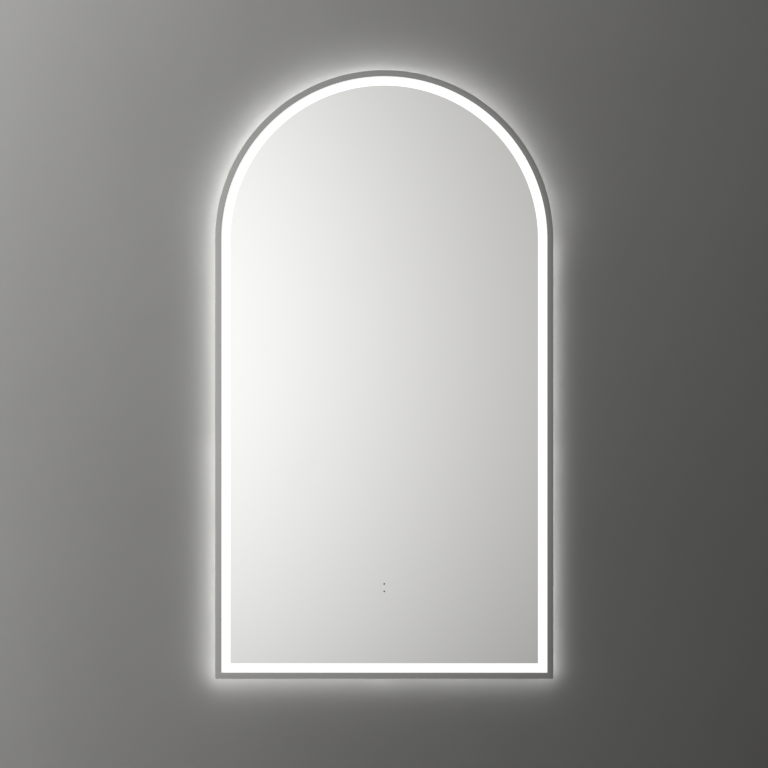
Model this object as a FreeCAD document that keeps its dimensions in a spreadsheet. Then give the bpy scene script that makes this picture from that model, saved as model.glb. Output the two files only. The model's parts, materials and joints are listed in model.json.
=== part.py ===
import FreeCAD, Part
import math
import os
import Sketcher

# A lighted arch mirror, hung on a wall rail. Millimetres. X runs right, Z up and Y into
# the wall. The origin lies on the wall plane, in the middle of the rail's line of screws,
# so the glass faces -Y and its front is the object's whole depth away from the wall.
#
# Two measures place every layer. An inset runs inward from the frame's outer edge, and a
# depth runs back from the frame's front face.

Vector = FreeCAD.Vector
doc = FreeCAD.newDocument("arch_mirror")

# ---------------------------------------------------------------- driving dimensions

DIMENSIONS = [
    # overall
    ("arch_radius", 250.0),          # half the width, and the radius of the round top
    ("leg_length", 650.0),           # straight side, from the arch centre to the bottom
    ("overall_depth", 45.0),         # frame front to wall
    ("wall_standoff", 9.0),          # rear of the back plate to wall
    ("rail_below_arch", 10.0),       # line of wall screws below the arch centre
    ("fit_gap", 0.1),                # clearance between pieces that slide together
    ("run_gap", 0.3),                # clearance between pieces that must not rub
    # aluminium frame extrusion
    ("frame_face", 9.0),
    ("frame_depth", 30.0),
    ("frame_wall", 1.6),
    ("frame_arris", 0.5),
    ("lip_thickness", 1.8),
    ("ledge_thickness", 1.4),
    ("ledge_reach", 6.5),
    ("key_lip_depth", 2.0),
    ("key_lip_thickness", 1.2),
    ("rear_ledge_thickness", 1.2),
    ("rear_lip_thickness", 1.4),
    ("rear_lip_reach", 5.5),
    ("mitre_gap", 0.1),
    # corner keys
    ("key_leg", 42.0),
    ("key_screw_radius", 2.0),
    ("key_screw_first", 14.0),
    ("key_screw_pitch", 18.0),
    # glass and what is bonded to it
    ("glass_thickness", 5.0),
    ("glass_inset", 3.0),
    ("gasket_skin", 0.5),
    ("gasket_reach", 8.0),
    ("band_width", 13.5),            # clear band of frosted glass inside the frame
    ("etch_depth", 0.15),
    ("dot_radius", 1.5),
    ("dot_height", 129.0),           # lower touch mark above the bottom edge
    ("dot_spacing", 11.0),
    ("film_thickness", 0.2),
    ("bond_thickness", 1.0),
    ("bond_width", 12.0),
    # folded rim that carries the lights and the back plate
    ("rim_inset", 26.0),
    ("rim_sheet", 1.2),
    ("rim_corner", 10.0),
    ("front_flange", 14.0),
    ("rear_flange", 16.0),
    # rear light ring
    ("diffuser_thickness", 2.0),
    ("diffuser_gap", 0.2),
    # strip of lights
    ("strip_width", 8.0),
    ("strip_thickness", 0.3),
    ("strip_depth", 18.0),           # middle of the strip behind the frame's front
    ("strip_break", 14.0),           # open end of the strip, at the foot
    ("strip_lead_drop", 325.0),      # where its lead comes through the rim
    ("chip_length", 3.5),
    ("chip_width", 2.8),
    ("chip_height", 0.7),
    ("chip_pitch", 100.0 / 3.0),
    # back plate
    ("plate_thickness", 1.0),
    ("swage_length", 320.0),
    ("swage_width", 12.0),
    ("swage_height", 1.6),
    ("swage_drop", 180.0),           # first pressed rib below the arch centre
    ("swage_pitch", 150.0),
    ("plate_screw_inset", 34.5),
    ("plate_screw_radius", 1.25),
    ("plate_head_radius", 3.0),
    ("plate_head_height", 1.9),
    ("plate_screw_length", 9.0),
    ("vent_length", 26.0),
    ("vent_width", 3.0),
    ("vent_pitch_across", 36.0),
    ("vent_pitch_up", 10.0),
    ("lower_vent_drop", 420.0),
    ("upper_vent_rise", 110.0),
    # wall rail and hanger bar
    ("rail_length", 260.0),
    ("rail_sheet", 2.0),
    ("rail_flange", 14.0),           # half the height of the part against the wall
    ("rail_offset", 4.3),            # hook's rear face in front of the wall
    ("rail_hook", 12.0),             # height of the hook above its step
    ("rail_hole_radius", 2.75),
    ("rail_hole_spacing", 200.0),
    ("rail_slot_length", 24.0),
    ("rail_slot_spacing", 90.0),
    ("hanger_length", 236.0),
    ("hanger_flange", 26.0),
    ("rivet_radius", 2.0),
    ("rivet_head_radius", 4.0),
    ("rivet_head_height", 1.2),
    ("rivet_closed_radius", 3.2),
    ("rivet_pitch", 50.0),
    # rubber feet against the wall
    ("bumper_radius", 12.0),
    ("bumper_inset", 100.0),         # foot's middle inside the frame's edge
    ("bumper_height", 84.0),
    ("bumper_well_radius", 4.5),
    ("bumper_well_depth", 4.0),
    # demister film
    ("demister_width", 200.0),
    ("demister_height", 280.0),
    ("demister_thickness", 0.4),
    ("demister_drop", 60.0),
    ("boot_width", 22.0),
    ("boot_height", 14.0),
    ("boot_thickness", 7.0),
    # touch switch
    ("touch_width", 54.0),
    ("touch_height", 34.0),
    ("touch_thickness", 9.0),
    ("touch_wall", 1.4),
    ("board_thickness", 1.6),
    ("board_stand", 3.5),
    ("spring_radius", 2.6),
    # driver
    ("driver_length", 112.0),
    ("driver_width", 42.0),
    ("driver_thickness", 22.0),
    ("driver_cover", 20.0),
    ("driver_ear", 9.0),
    ("driver_ear_thickness", 3.0),
    ("driver_round", 3.0),
    ("driver_drop", 232.0),
    # terminal box
    ("window_width", 84.0),
    ("window_height", 46.0),
    ("window_across", 72.0),
    ("window_drop", 108.0),
    ("cover_border", 9.0),
    ("cover_sheet", 1.2),
    ("cover_rise", 4.5),
    ("bracket_width", 24.0),
    ("bracket_depth", 20.0),
    ("bracket_foot", 20.0),
    ("bracket_screw_edge", 6.0),     # screw to the foot's outer end
    ("block_width", 32.0),
    ("block_height", 18.0),
    ("block_thickness", 13.0),
    ("block_bore", 2.0),
    # supply cable entry
    ("entry_across", -24.0),
    ("entry_radius", 4.0),
    ("entry_length", 7.0),
    ("entry_groove_radius", 7.0),
    ("entry_flange_radius", 9.5),
    # earth point
    ("earth_across", 150.0),
    ("earth_drop", 150.0),
    ("earth_ring_radius", 5.0),
    ("earth_hole_radius", 2.1),
    ("earth_tongue", 15.0),
    ("earth_width", 6.0),
    ("earth_thickness", 0.8),
    ("crimp_radius", 2.2),
    ("crimp_length", 7.0),
    # leads inside
    ("lead_radius", 2.0),
    ("mains_radius", 2.8),
    ("earth_lead_radius", 1.5),
    ("output_pitch", 11.0),          # between the driver's three outputs
    ("lead_lift", 6.0),              # middle of a lead in front of the back plate
    ("clip_width", 10.0),
    ("clip_wall", 1.4),
]

sheet = doc.addObject("Spreadsheet::Sheet", "Sizes")
for line, (name, value) in enumerate(DIMENSIONS, start=1):
    sheet.set(f"A{line}", name)
    sheet.set(f"B{line}", str(value))
    sheet.setAlias(f"B{line}", name)
doc.recompute()


def formula(value):
    """The spreadsheet formula of a size, or a plain number as text."""
    return value.formula if isinstance(value, Size) else repr(float(value))


class Size(float):
    """A length that also knows its formula, so that sums of sizes stay parametric."""

    def __new__(cls, value, text):
        size = super().__new__(cls, value)
        size.formula = text
        return size

    def __add__(self, other):
        return Size(float(self) + float(other), f"({formula(self)} + {formula(other)})")

    def __radd__(self, other):
        return Size(float(other) + float(self), f"({formula(other)} + {formula(self)})")

    def __sub__(self, other):
        return Size(float(self) - float(other), f"({formula(self)} - {formula(other)})")

    def __rsub__(self, other):
        return Size(float(other) - float(self), f"({formula(other)} - {formula(self)})")

    def __mul__(self, other):
        return Size(float(self) * float(other), f"({formula(self)} * {formula(other)})")

    __rmul__ = __mul__

    def __truediv__(self, other):
        return Size(float(self) / float(other), f"({formula(self)} / {formula(other)})")

    def __neg__(self):
        return Size(-float(self), f"(-1 * {formula(self)})")


class Sizes:
    """Every cell of the sheet, by its name."""

    def __getattr__(self, name):
        return Size(sheet.get(name), f"Sizes.{name}")


mm = Sizes()

# ---------------------------------------------------------------- depths of the layers

arch_height = mm.rail_below_arch
glass_front = mm.lip_thickness + mm.fit_gap + mm.gasket_skin
glass_back = glass_front + mm.glass_thickness
groove_back = glass_back + mm.gasket_skin + mm.fit_gap
key_front = groove_back + mm.ledge_thickness
film_back = glass_back + mm.film_thickness
rim_front = film_back + mm.bond_thickness
plate_back = mm.overall_depth - mm.wall_standoff
plate_front = plate_back - mm.plate_thickness
rim_depth = plate_front - rim_front
rear_lip_front = mm.frame_depth - mm.rear_lip_thickness
diffuser_back = rear_lip_front - mm.diffuser_gap
diffuser_front = diffuser_back - mm.diffuser_thickness
rear_ledge_front = diffuser_front - mm.diffuser_gap - mm.rear_ledge_thickness
band_inset = mm.frame_face + mm.band_width

# ---------------------------------------------------------------- drawing helpers

# Small screws and their holes repeat too often to be drawn round.
SMALL_SIDES = 6
HEAD_SIDES = 8
BLANK = "_blank"

PLANES = {"XY": "XY_Plane", "XZ": "XZ_Plane", "YZ": "YZ_Plane"}


def bind(thing, field, value):
    """Give a property its value, and its formula where it comes from the sheet."""
    setattr(thing, field, float(value))
    if isinstance(value, Size):
        thing.setExpression(field, value.formula)


def place(thing, x=0.0, y=0.0, z=0.0, turn=FreeCAD.Rotation()):
    """Put an object's own origin at this point of the mirror."""
    thing.Placement = FreeCAD.Placement(Vector(x, y, z), turn)
    for axis, value in (("x", x), ("y", y), ("z", z)):
        if isinstance(value, Size):
            thing.setExpression(f"Placement.Base.{axis}", value.formula)


def new_body(name, x=0.0, y=0.0, z=0.0):
    body = doc.addObject("PartDesign::Body", name)
    place(body, x, y, z)
    return body


def layer(name, back):
    """A body drawn about the arch centre, with its rear face at this depth."""
    return new_body(name, 0.0, back - mm.overall_depth, arch_height)


def origin_part(body, role):
    return next(part for part in body.Origin.OriginFeatures if part.Role == role)


def sketch_on(body, plane, lift=0.0):
    """A sketch on one of the body's own planes, or this far along the plane's normal."""
    sketch = body.newObject("Sketcher::SketchObject", f"{body.Name}_outline")
    sketch.AttachmentSupport = [(origin_part(body, PLANES[plane]), "")]
    sketch.MapMode = "FlatFace"
    if lift:
        sketch.AttachmentOffset = FreeCAD.Placement(Vector(0, 0, lift), FreeCAD.Rotation())
        if isinstance(lift, Size):
            sketch.setExpression("AttachmentOffset.Base.z", lift.formula)
    return sketch


def constrain(sketch, *terms):
    """Add a constraint; where its last term is a size, the constraint follows the sheet."""
    value = terms[-1]
    plain = [float(term) if isinstance(term, float) else term for term in terms]
    index = sketch.addConstraint(Sketcher.Constraint(*plain))
    if isinstance(value, Size):
        sketch.setExpression(f"Constraints[{index}]", value.formula)


def pin(sketch, edge, end, x, y):
    """Fix a point of an edge at this distance from the sketch's origin."""
    for kind, value, axis in (("DistanceX", x, -2), ("DistanceY", y, -1)):
        if isinstance(value, Size) or value:
            constrain(sketch, kind, -1, 1, edge, end, value)
        else:
            constrain(sketch, "PointOnObject", edge, end, axis)


def polygon(sketch, corners):
    points = [Vector(x, y, 0) for x, y in corners]
    ends = points[1:] + points[:1]
    edges = [sketch.addGeometry(Part.LineSegment(a, b)) for a, b in zip(points, ends)]
    for edge, following in zip(edges, edges[1:] + edges[:1]):
        constrain(sketch, "Coincident", edge, 2, following, 1)
    for edge, (x, y) in zip(edges, corners):
        pin(sketch, edge, 1, x, y)


def rectangle(sketch, x, y, width, height):
    """A rectangle about this middle point."""
    left, right = x - width / 2, x + width / 2
    low, high = y - height / 2, y + height / 2
    polygon(sketch, [(left, low), (right, low), (right, high), (left, high)])


def circle(sketch, x, y, radius):
    round_edge = Part.Circle(Vector(x, y, 0), Vector(0, 0, 1), float(radius))
    edge = sketch.addGeometry(round_edge)
    pin(sketch, edge, 3, x, y)
    constrain(sketch, "Radius", edge, radius)


def regular(sketch, x, y, radius, sides):
    """A regular polygon whose corners lie on this radius."""
    turns = [2 * math.pi * step / sides for step in range(sides)]
    polygon(sketch, [(x + radius * math.cos(turn), y + radius * math.sin(turn)) for turn in turns])


def arch(sketch, inset, corner=0.0):
    """The mirror's outline, this far inside the frame's edge: a half circle on two legs."""
    radius, foot = mm.arch_radius - inset, inset - mm.leg_length
    side, base, bend = float(radius), float(foot), float(corner)
    axis = Vector(0, 0, 1)
    top = sketch.addGeometry(
        Part.ArcOfCircle(Part.Circle(Vector(0, 0, 0), axis, side), 0, math.pi)
    )
    left = sketch.addGeometry(
        Part.LineSegment(Vector(-side, 0, 0), Vector(-side, base + bend, 0))
    )
    bottom = sketch.addGeometry(
        Part.LineSegment(Vector(bend - side, base, 0), Vector(side - bend, base, 0))
    )
    right = sketch.addGeometry(
        Part.LineSegment(Vector(side, base + bend, 0), Vector(side, 0, 0))
    )
    constrain(sketch, "Coincident", top, 3, -1, 1)
    constrain(sketch, "Tangent", top, 2, left, 1)
    constrain(sketch, "Tangent", right, 2, top, 1)
    constrain(sketch, "Vertical", left)
    constrain(sketch, "Vertical", right)
    constrain(sketch, "Horizontal", bottom)
    constrain(sketch, "Radius", top, radius)
    constrain(sketch, "DistanceY", -1, 1, bottom, 1, foot)
    if not corner:
        constrain(sketch, "Coincident", left, 2, bottom, 1)
        constrain(sketch, "Coincident", bottom, 2, right, 1)
        return
    for x, start, before, after in (
        (bend - side, math.pi, left, bottom),
        (side - bend, 1.5 * math.pi, bottom, right),
    ):
        centre = Vector(x, base + bend, 0)
        turn = sketch.addGeometry(
            Part.ArcOfCircle(Part.Circle(centre, axis, bend), start, start + math.pi / 2)
        )
        constrain(sketch, "Tangent", before, 2, turn, 1)
        constrain(sketch, "Tangent", turn, 2, after, 1)
        constrain(sketch, "Radius", turn, corner)


def feature(body, kind, sketch):
    made = body.newObject(f"PartDesign::{kind}", f"{body.Name}_{kind.lower()}")
    made.Profile = sketch
    sketch.Visibility = False
    return made


def pad(body, sketch, length, rearward=False, both_ways=False):
    """Grow the sketch along its plane's normal, against it, or half each way."""
    made = feature(body, "Pad", sketch)
    bind(made, "Length", length)
    made.Reversed = rearward
    made.Midplane = both_ways
    doc.recompute()
    return made


def pocket(body, sketch, length, along_normal=False, both_ways=False):
    """Cut the sketch's shape away, and make sure that something was cut."""
    before = body.Shape.Volume
    made = feature(body, "Pocket", sketch)
    bind(made, "Length", length)
    made.Reversed = along_normal
    made.Midplane = both_ways
    doc.recompute()
    if not body.Shape.Volume < before:
        raise RuntimeError(f"{made.Name} cuts nothing")
    return made


def half_turn(body, sketch):
    """Sweep the sketch over the top, from the right-hand side to the left."""
    made = feature(body, "Revolution", sketch)
    made.ReferenceAxis = (origin_part(body, "Y_Axis"), [""])
    made.Angle = 180.0
    made.Reversed = True
    doc.recompute()


def soften(body, kind, size, wanted):
    """Chamfer or fillet the edges of the body that the test picks."""
    base = body.Tip
    names = [
        f"Edge{number}"
        for number, edge in enumerate(base.Shape.Edges, start=1)
        if wanted(edge)
    ]
    made = body.newObject(f"PartDesign::{kind}", f"{body.Name}_{kind.lower()}")
    made.Base = (base, names)
    bind(made, "Radius" if kind == "Fillet" else "Size", size)
    doc.recompute()
    return made


def runs_along_y(edge):
    return isinstance(edge.Curve, Part.Line) and abs(edge.Curve.Direction.y) > 0.999


def around(radius, sides):
    """Corner radius of a flat-sided hole that clears this radius."""
    return radius * (1 / math.cos(math.pi / sides))


def hole_cutter(x, y, z, radius, length, sides=SMALL_SIDES):
    """A flat-sided drill along Y that clears this radius, starting at y."""
    drill = doc.addObject("Part::Prism", "drill")
    drill.Polygon = sides
    bind(drill, "Circumradius", around(radius, sides))
    bind(drill, "Height", length)
    place(drill, x, y, z, FreeCAD.Rotation(Vector(1, 0, 0), -90))
    return drill


def slot_cutter(x, y, z, width, height, length):
    """A square-ended punch along Y about this middle point, starting at y."""
    punch = doc.addObject("Part::Box", "punch")
    for field, value in (("Length", width), ("Height", height), ("Width", length)):
        bind(punch, field, value)
    place(punch, x - width / 2, y, z - height / 2)
    return punch


def cut_away(name, blank, cutters):
    """The blank without its cutters, as a sub-part; make sure that each of them cuts."""
    for cutter in cutters:
        doc.recompute([cutter])
        if not blank.Shape.common(cutter.Shape).Volume > 0:
            raise RuntimeError(f"a cutter of {name} misses")
    tools = doc.addObject("Part::Compound", f"{name}_cutters")
    tools.Links = cutters
    cut = doc.addObject("Part::Cut", name)
    cut.Base, cut.Tool = blank, tools
    doc.recompute()


def group(name, shapes, x=0.0, y=0.0, z=0.0):
    """One node that holds several separate solids of a kind."""
    made = doc.addObject("Part::Feature", name)
    made.Shape = Part.makeCompound(shapes)
    made.Placement = FreeCAD.Placement(Vector(x, y, z), FreeCAD.Rotation())
    return made


def at(shape, x=0.0, y=0.0, z=0.0):
    """A copy of a shape, moved by this much."""
    return shape.translated(Vector(x, y, z))


def prism(sides, radius, start, end):
    """A prism along Y with its corners on this radius, from start to end."""
    turns = [2 * math.pi * step / sides for step in range(sides)]
    corners = [Vector(radius * math.cos(turn), start, radius * math.sin(turn)) for turn in turns]
    face = Part.Face(Part.makePolygon(corners + corners[:1]))
    return face.extrude(Vector(0, end - start, 0))


# ---------------------------------------------------------------- aluminium frame

def frame_section(across, along):
    """Corners of the extrusion, each as (inset, depth), turned into sketch points."""
    neck = mm.ledge_reach - mm.key_lip_thickness
    corners = [
        (mm.frame_arris, 0.0),
        (mm.frame_face, 0.0),
        (mm.frame_face, mm.lip_thickness),
        (mm.frame_wall, mm.lip_thickness),
        (mm.frame_wall, groove_back),
        (mm.ledge_reach, groove_back),
        (mm.ledge_reach, key_front + mm.key_lip_depth),
        (neck, key_front + mm.key_lip_depth),
        (neck, key_front),
        (mm.frame_wall, key_front),
        (mm.frame_wall, rear_ledge_front),
        (neck, rear_ledge_front),
        (neck, rear_ledge_front - mm.key_lip_depth),
        (mm.ledge_reach, rear_ledge_front - mm.key_lip_depth),
        (mm.ledge_reach, rear_ledge_front + mm.rear_ledge_thickness),
        (mm.frame_wall, rear_ledge_front + mm.rear_ledge_thickness),
        (mm.frame_wall, rear_lip_front),
        (mm.rear_lip_reach, rear_lip_front),
        (mm.rear_lip_reach, mm.frame_depth),
        (0.0, mm.frame_depth),
        (0.0, mm.frame_arris),
    ]
    return [(across(inset, depth), along(inset, depth)) for inset, depth in corners]


def mitre(sketch, side, gap):
    """Triangle on one side of the 45 degree mitre: below it for the legs, above for the sill."""
    reach = 2 * mm.ledge_reach
    if gap > 0:
        spare = (side * (mm.arch_radius - reach), -mm.leg_length - reach)
    else:
        spare = (side * (mm.arch_radius + reach), -mm.leg_length + reach)
    polygon(
        sketch,
        [
            (side * (mm.arch_radius + reach), gap - mm.leg_length - reach),
            (side * (mm.arch_radius - reach), gap - mm.leg_length + reach),
            spare,
        ],
    )


def make_frame_arch():
    body = layer("frame_arch", 0.0)
    section = sketch_on(body, "XY")
    polygon(section, frame_section(lambda u, w: mm.arch_radius - u, lambda u, w: w))
    half_turn(body, section)
    leg = pad(body, section, mm.leg_length, rearward=True)
    other_leg = body.newObject("PartDesign::Mirrored", "frame_arch_other_leg")
    other_leg.Originals = [leg]
    other_leg.MirrorPlane = (origin_part(body, "YZ_Plane"), [""])
    body.Tip = other_leg
    doc.recompute()
    cut = sketch_on(body, "XZ")
    for side in (1, -1):
        mitre(cut, side, mm.mitre_gap)
    pocket(body, cut, mm.frame_depth)


def make_frame_sill():
    body = layer("frame_sill", 0.0)
    section = sketch_on(body, "YZ")
    polygon(section, frame_section(lambda u, w: w, lambda u, w: u - mm.leg_length))
    pad(body, section, 2 * mm.arch_radius, both_ways=True)
    cut = sketch_on(body, "XZ")
    for side in (1, -1):
        mitre(cut, side, -mm.mitre_gap)
    pocket(body, cut, mm.frame_depth)


key_inset = mm.frame_wall + mm.fit_gap
key_thickness = mm.ledge_reach - mm.key_lip_thickness - mm.fit_gap - key_inset
key_width = rear_ledge_front - key_front - 2 * mm.fit_gap
key_middle = (rear_ledge_front + key_front) / 2
key_screw_places = [mm.key_screw_first, mm.key_screw_first + mm.key_screw_pitch]


def make_corner_keys():
    """An angle in the frame's channel, drawn for the right corner and mirrored for the left."""
    key = layer("corner_key_right", rear_ledge_front - mm.fit_gap)
    side, foot = mm.arch_radius - key_inset, key_inset - mm.leg_length
    outline = sketch_on(key, "XZ")
    polygon(
        outline,
        [
            (side, foot),
            (side, foot + mm.key_leg),
            (side - key_thickness, foot + mm.key_leg),
            (side - key_thickness, foot + key_thickness),
            (side - mm.key_leg, foot + key_thickness),
            (side - mm.key_leg, foot),
        ],
    )
    pad(key, outline, key_width)
    in_leg, in_sill = sketch_on(key, "YZ"), sketch_on(key, "XY")
    hole = around(mm.key_screw_radius, SMALL_SIDES)
    for place_along in key_screw_places:
        regular(in_leg, -key_width / 2, foot + place_along, hole, SMALL_SIDES)
        regular(in_sill, side - place_along, -key_width / 2, hole, SMALL_SIDES)
    pocket(key, in_leg, mm.arch_radius, along_normal=True)
    pocket(key, in_sill, mm.leg_length)
    left = doc.addObject("Part::Mirroring", "corner_key_left")
    left.Source = key
    left.Normal = Vector(1, 0, 0)


def make_corner_key_screws():
    """Set screws that spread each key against the frame's wall."""
    length = key_thickness
    blank = prism(SMALL_SIDES, mm.key_screw_radius - mm.fit_gap, 0, length)
    upright = blank.rotated(Vector(0, 0, 0), Vector(0, 0, 1), -90)
    level = upright.rotated(Vector(0, 0, 0), Vector(0, 1, 0), 90)
    side, foot = mm.arch_radius - key_inset, mm.leg_length - key_inset
    screws = []
    for along in key_screw_places:
        screws.append(at(upright, side - length, 0, along - foot))
        screws.append(at(level, side - along, 0, length - foot))
    mirrored = [screw.mirror(Vector(0, 0, 0), Vector(1, 0, 0)) for screw in screws]
    group("corner_key_screws", screws + mirrored, 0, key_middle - mm.overall_depth, arch_height)


# ---------------------------------------------------------------- glass and its seal

def ring(body, outer, inner, depth, lift=0.0, outer_corner=0.0, inner_corner=0.0):
    """Pad the band between two insets, forward from this far in front of the body's rear."""
    outline = sketch_on(body, "XZ", lift)
    arch(outline, outer, outer_corner)
    arch(outline, inner, inner_corner)
    return pad(body, outline, depth)


def make_glazing_gasket():
    body = layer("glazing_gasket", glass_back + mm.gasket_skin)
    outer = mm.frame_wall + mm.fit_gap
    ring(body, outer, mm.gasket_reach, mm.gasket_skin)
    ring(body, outer, mm.glass_inset - mm.fit_gap, mm.glass_thickness, mm.gasket_skin)
    front_skin = mm.gasket_skin + mm.glass_thickness
    ring(body, outer, mm.gasket_reach, mm.gasket_skin, front_skin)


def make_mirror_glass():
    """Glass whose silvering is etched away for the lit border and the two touch marks."""
    body = layer("mirror_glass", glass_back)
    pane = sketch_on(body, "XZ")
    arch(pane, mm.glass_inset)
    pad(body, pane, mm.glass_thickness)
    frosting = sketch_on(body, "XZ")
    arch(frosting, mm.glass_inset)
    arch(frosting, band_inset)
    pocket(body, frosting, mm.etch_depth, along_normal=True)
    marks = sketch_on(body, "XZ")
    for rise in (0.0, mm.dot_spacing):
        middle = mm.dot_height + rise - mm.leg_length
        regular(marks, 0.0, middle, mm.dot_radius, 2 * SMALL_SIDES)
    pocket(body, marks, mm.etch_depth, along_normal=True)


touch_rise = mm.dot_height + mm.dot_spacing / 2 - mm.leg_length


def make_safety_film():
    """Backing film on the silvered glass, cut out round the touch switch."""
    body = layer("safety_film", film_back)
    outline = sketch_on(body, "XZ")
    arch(outline, band_inset + mm.fit_gap)
    border = 4 * mm.touch_wall
    rectangle(outline, 0.0, touch_rise, mm.touch_width + border, mm.touch_height + border)
    pad(body, outline, mm.film_thickness)


def make_bond_tape():
    body = layer("bond_tape", rim_front)
    ring(body, mm.rim_inset, mm.rim_inset + mm.bond_width, mm.bond_thickness, 0.0, mm.rim_corner)


# ---------------------------------------------------------------- folded rim and lights

def around_the_arch(inset, on_arch, on_leg, on_foot):
    """Evenly spaced points (x, z) at this inset: over the arch, down each leg, along the foot."""
    radius, foot = mm.arch_radius - inset, inset - mm.leg_length
    points = []
    for step in range(on_arch):
        turn = math.pi * (step + 0.5) / on_arch
        points.append((radius * math.cos(turn), radius * math.sin(turn)))
    for step in range(on_leg):
        drop = foot * ((step + 0.5) / on_leg)
        points += [(-radius, drop), (radius, drop)]
    for step in range(on_foot):
        points.append((radius * ((2 * step + 1) / on_foot - 1), foot))
    return points


plate_screw_places = around_the_arch(mm.plate_screw_inset, 5, 2, 2)
screw_clearance = mm.plate_screw_radius + mm.fit_gap


def make_light_rim():
    """A folded rim, open at the front to the light ring and at the rear to the back plate."""
    body = layer("light_rim" + BLANK, plate_front)
    bend = mm.rim_corner - mm.rim_sheet
    inner = mm.rim_inset + mm.rim_sheet
    ring(body, mm.rim_inset, inner, rim_depth, 0.0, mm.rim_corner, bend)
    front = rim_depth - mm.rim_sheet
    ring(body, mm.rim_inset, mm.rim_inset + mm.front_flange, mm.rim_sheet, front, mm.rim_corner)
    ring(body, mm.rim_inset, mm.rim_inset + mm.rear_flange, mm.rim_sheet, 0.0, mm.rim_corner)
    lead_hole = sketch_on(body, "YZ")
    hole = around(mm.lead_radius + mm.run_gap, SMALL_SIDES)
    regular(lead_hole, mm.strip_depth - plate_front, -mm.strip_lead_drop, hole, SMALL_SIDES)
    pocket(body, lead_hole, mm.arch_radius)
    front, reach = plate_front - mm.rim_sheet - mm.overall_depth, mm.rim_sheet
    pilots = [
        hole_cutter(x, front, arch_height + z, screw_clearance, reach)
        for x, z in plate_screw_places
    ]
    cut_away("light_rim", body, pilots)


def make_led_tape():
    """Flexible strip on the rim's outer face, open for a short length at the foot."""
    body = layer("led_tape", mm.strip_depth + mm.strip_width / 2)
    outer_corner = mm.rim_corner + mm.strip_thickness
    ring(
        body,
        mm.rim_inset - mm.strip_thickness,
        mm.rim_inset,
        mm.strip_width,
        0.0,
        outer_corner,
        mm.rim_corner,
    )
    opening = sketch_on(body, "XZ")
    rectangle(opening, 0.0, mm.rim_inset - mm.leg_length, mm.strip_break, mm.rim_corner)
    pocket(body, opening, mm.strip_width, along_normal=True)


def make_led_chips():
    """Light chips along the strip: turned with the arch, then straight down and across."""
    inset = mm.rim_inset - mm.strip_thickness - mm.chip_height
    radius, foot = mm.arch_radius - inset, mm.leg_length - inset
    chip = Part.makeBox(
        mm.chip_length,
        mm.chip_width,
        mm.chip_height,
        Vector(-mm.chip_length / 2, -mm.chip_width / 2, -mm.chip_height),
    )
    chips = []
    on_arch = int(math.pi * radius / mm.chip_pitch)
    for step in range(on_arch):
        turn = 180 * (step + 0.5) / on_arch
        leaning = at(chip, 0, 0, radius).rotated(Vector(0, 0, 0), Vector(0, 1, 0), 90 - turn)
        chips.append(leaning)
    upright = chip.rotated(Vector(0, 0, 0), Vector(0, 1, 0), 90)
    straight = foot - 2 * mm.rim_corner
    on_leg = int(straight / mm.chip_pitch)
    for step in range(on_leg):
        drop = mm.chip_pitch * (step + 0.5)
        chips.append(at(upright, radius, 0, -drop))
        chips.append(at(upright, radius, 0, -drop).mirror(Vector(0, 0, 0), Vector(1, 0, 0)))
    level = chip.rotated(Vector(0, 0, 0), Vector(0, 1, 0), 180)
    half_foot = radius - 2 * mm.rim_corner
    on_half = int(half_foot / mm.chip_pitch)
    for step in range(on_half):
        across = mm.chip_pitch * (step + 1)
        chips += [at(level, across, 0, -foot), at(level, -across, 0, -foot)]
    group("led_chips", chips, 0, mm.strip_depth - mm.overall_depth, arch_height)


def make_rear_diffuser():
    """Opal ring that closes the light ring at the rear and throws the halo on the wall."""
    body = layer("rear_diffuser", diffuser_back)
    ring(
        body,
        mm.frame_wall + mm.run_gap,
        mm.rim_inset - mm.run_gap,
        mm.diffuser_thickness,
        0.0,
        0.0,
        mm.rim_corner + mm.run_gap,
    )


# ---------------------------------------------------------------- wall rail and hanger bar

hook_top = mm.rail_flange + mm.rail_hook
hanger_rear = mm.rail_offset - mm.run_gap - mm.rail_sheet


def make_wall_rail():
    """Folded rail screwed to the wall; its hook stands in front of the wall, pointing up."""
    body = new_body("wall_rail")
    section = sketch_on(body, "YZ")
    outer = mm.rail_offset + mm.rail_sheet
    polygon(
        section,
        [
            (0.0, -mm.rail_flange),
            (0.0, mm.rail_flange),
            (-mm.rail_offset, mm.rail_flange),
            (-mm.rail_offset, hook_top),
            (-outer, hook_top),
            (-outer, mm.rail_flange - mm.rail_sheet),
            (-mm.rail_sheet, mm.rail_flange - mm.rail_sheet),
            (-mm.rail_sheet, -mm.rail_flange),
        ],
    )
    pad(body, section, mm.rail_length, both_ways=True)
    holes = sketch_on(body, "XZ")
    for side in (-0.5, 0.5):
        circle(holes, side * mm.rail_hole_spacing, 0.0, mm.rail_hole_radius)
        middle, high = side * mm.rail_slot_spacing, 2 * mm.rail_hole_radius
        rectangle(holes, middle, 0.0, mm.rail_slot_length, high)
    pocket(body, holes, mm.rail_sheet, along_normal=True)


rivet_rise = hook_top + (mm.hanger_flange + mm.rail_sheet) / 2
rivet_places = [(step * mm.rivet_pitch, rivet_rise) for step in (-2, -1, 0, 1, 2)]


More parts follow.
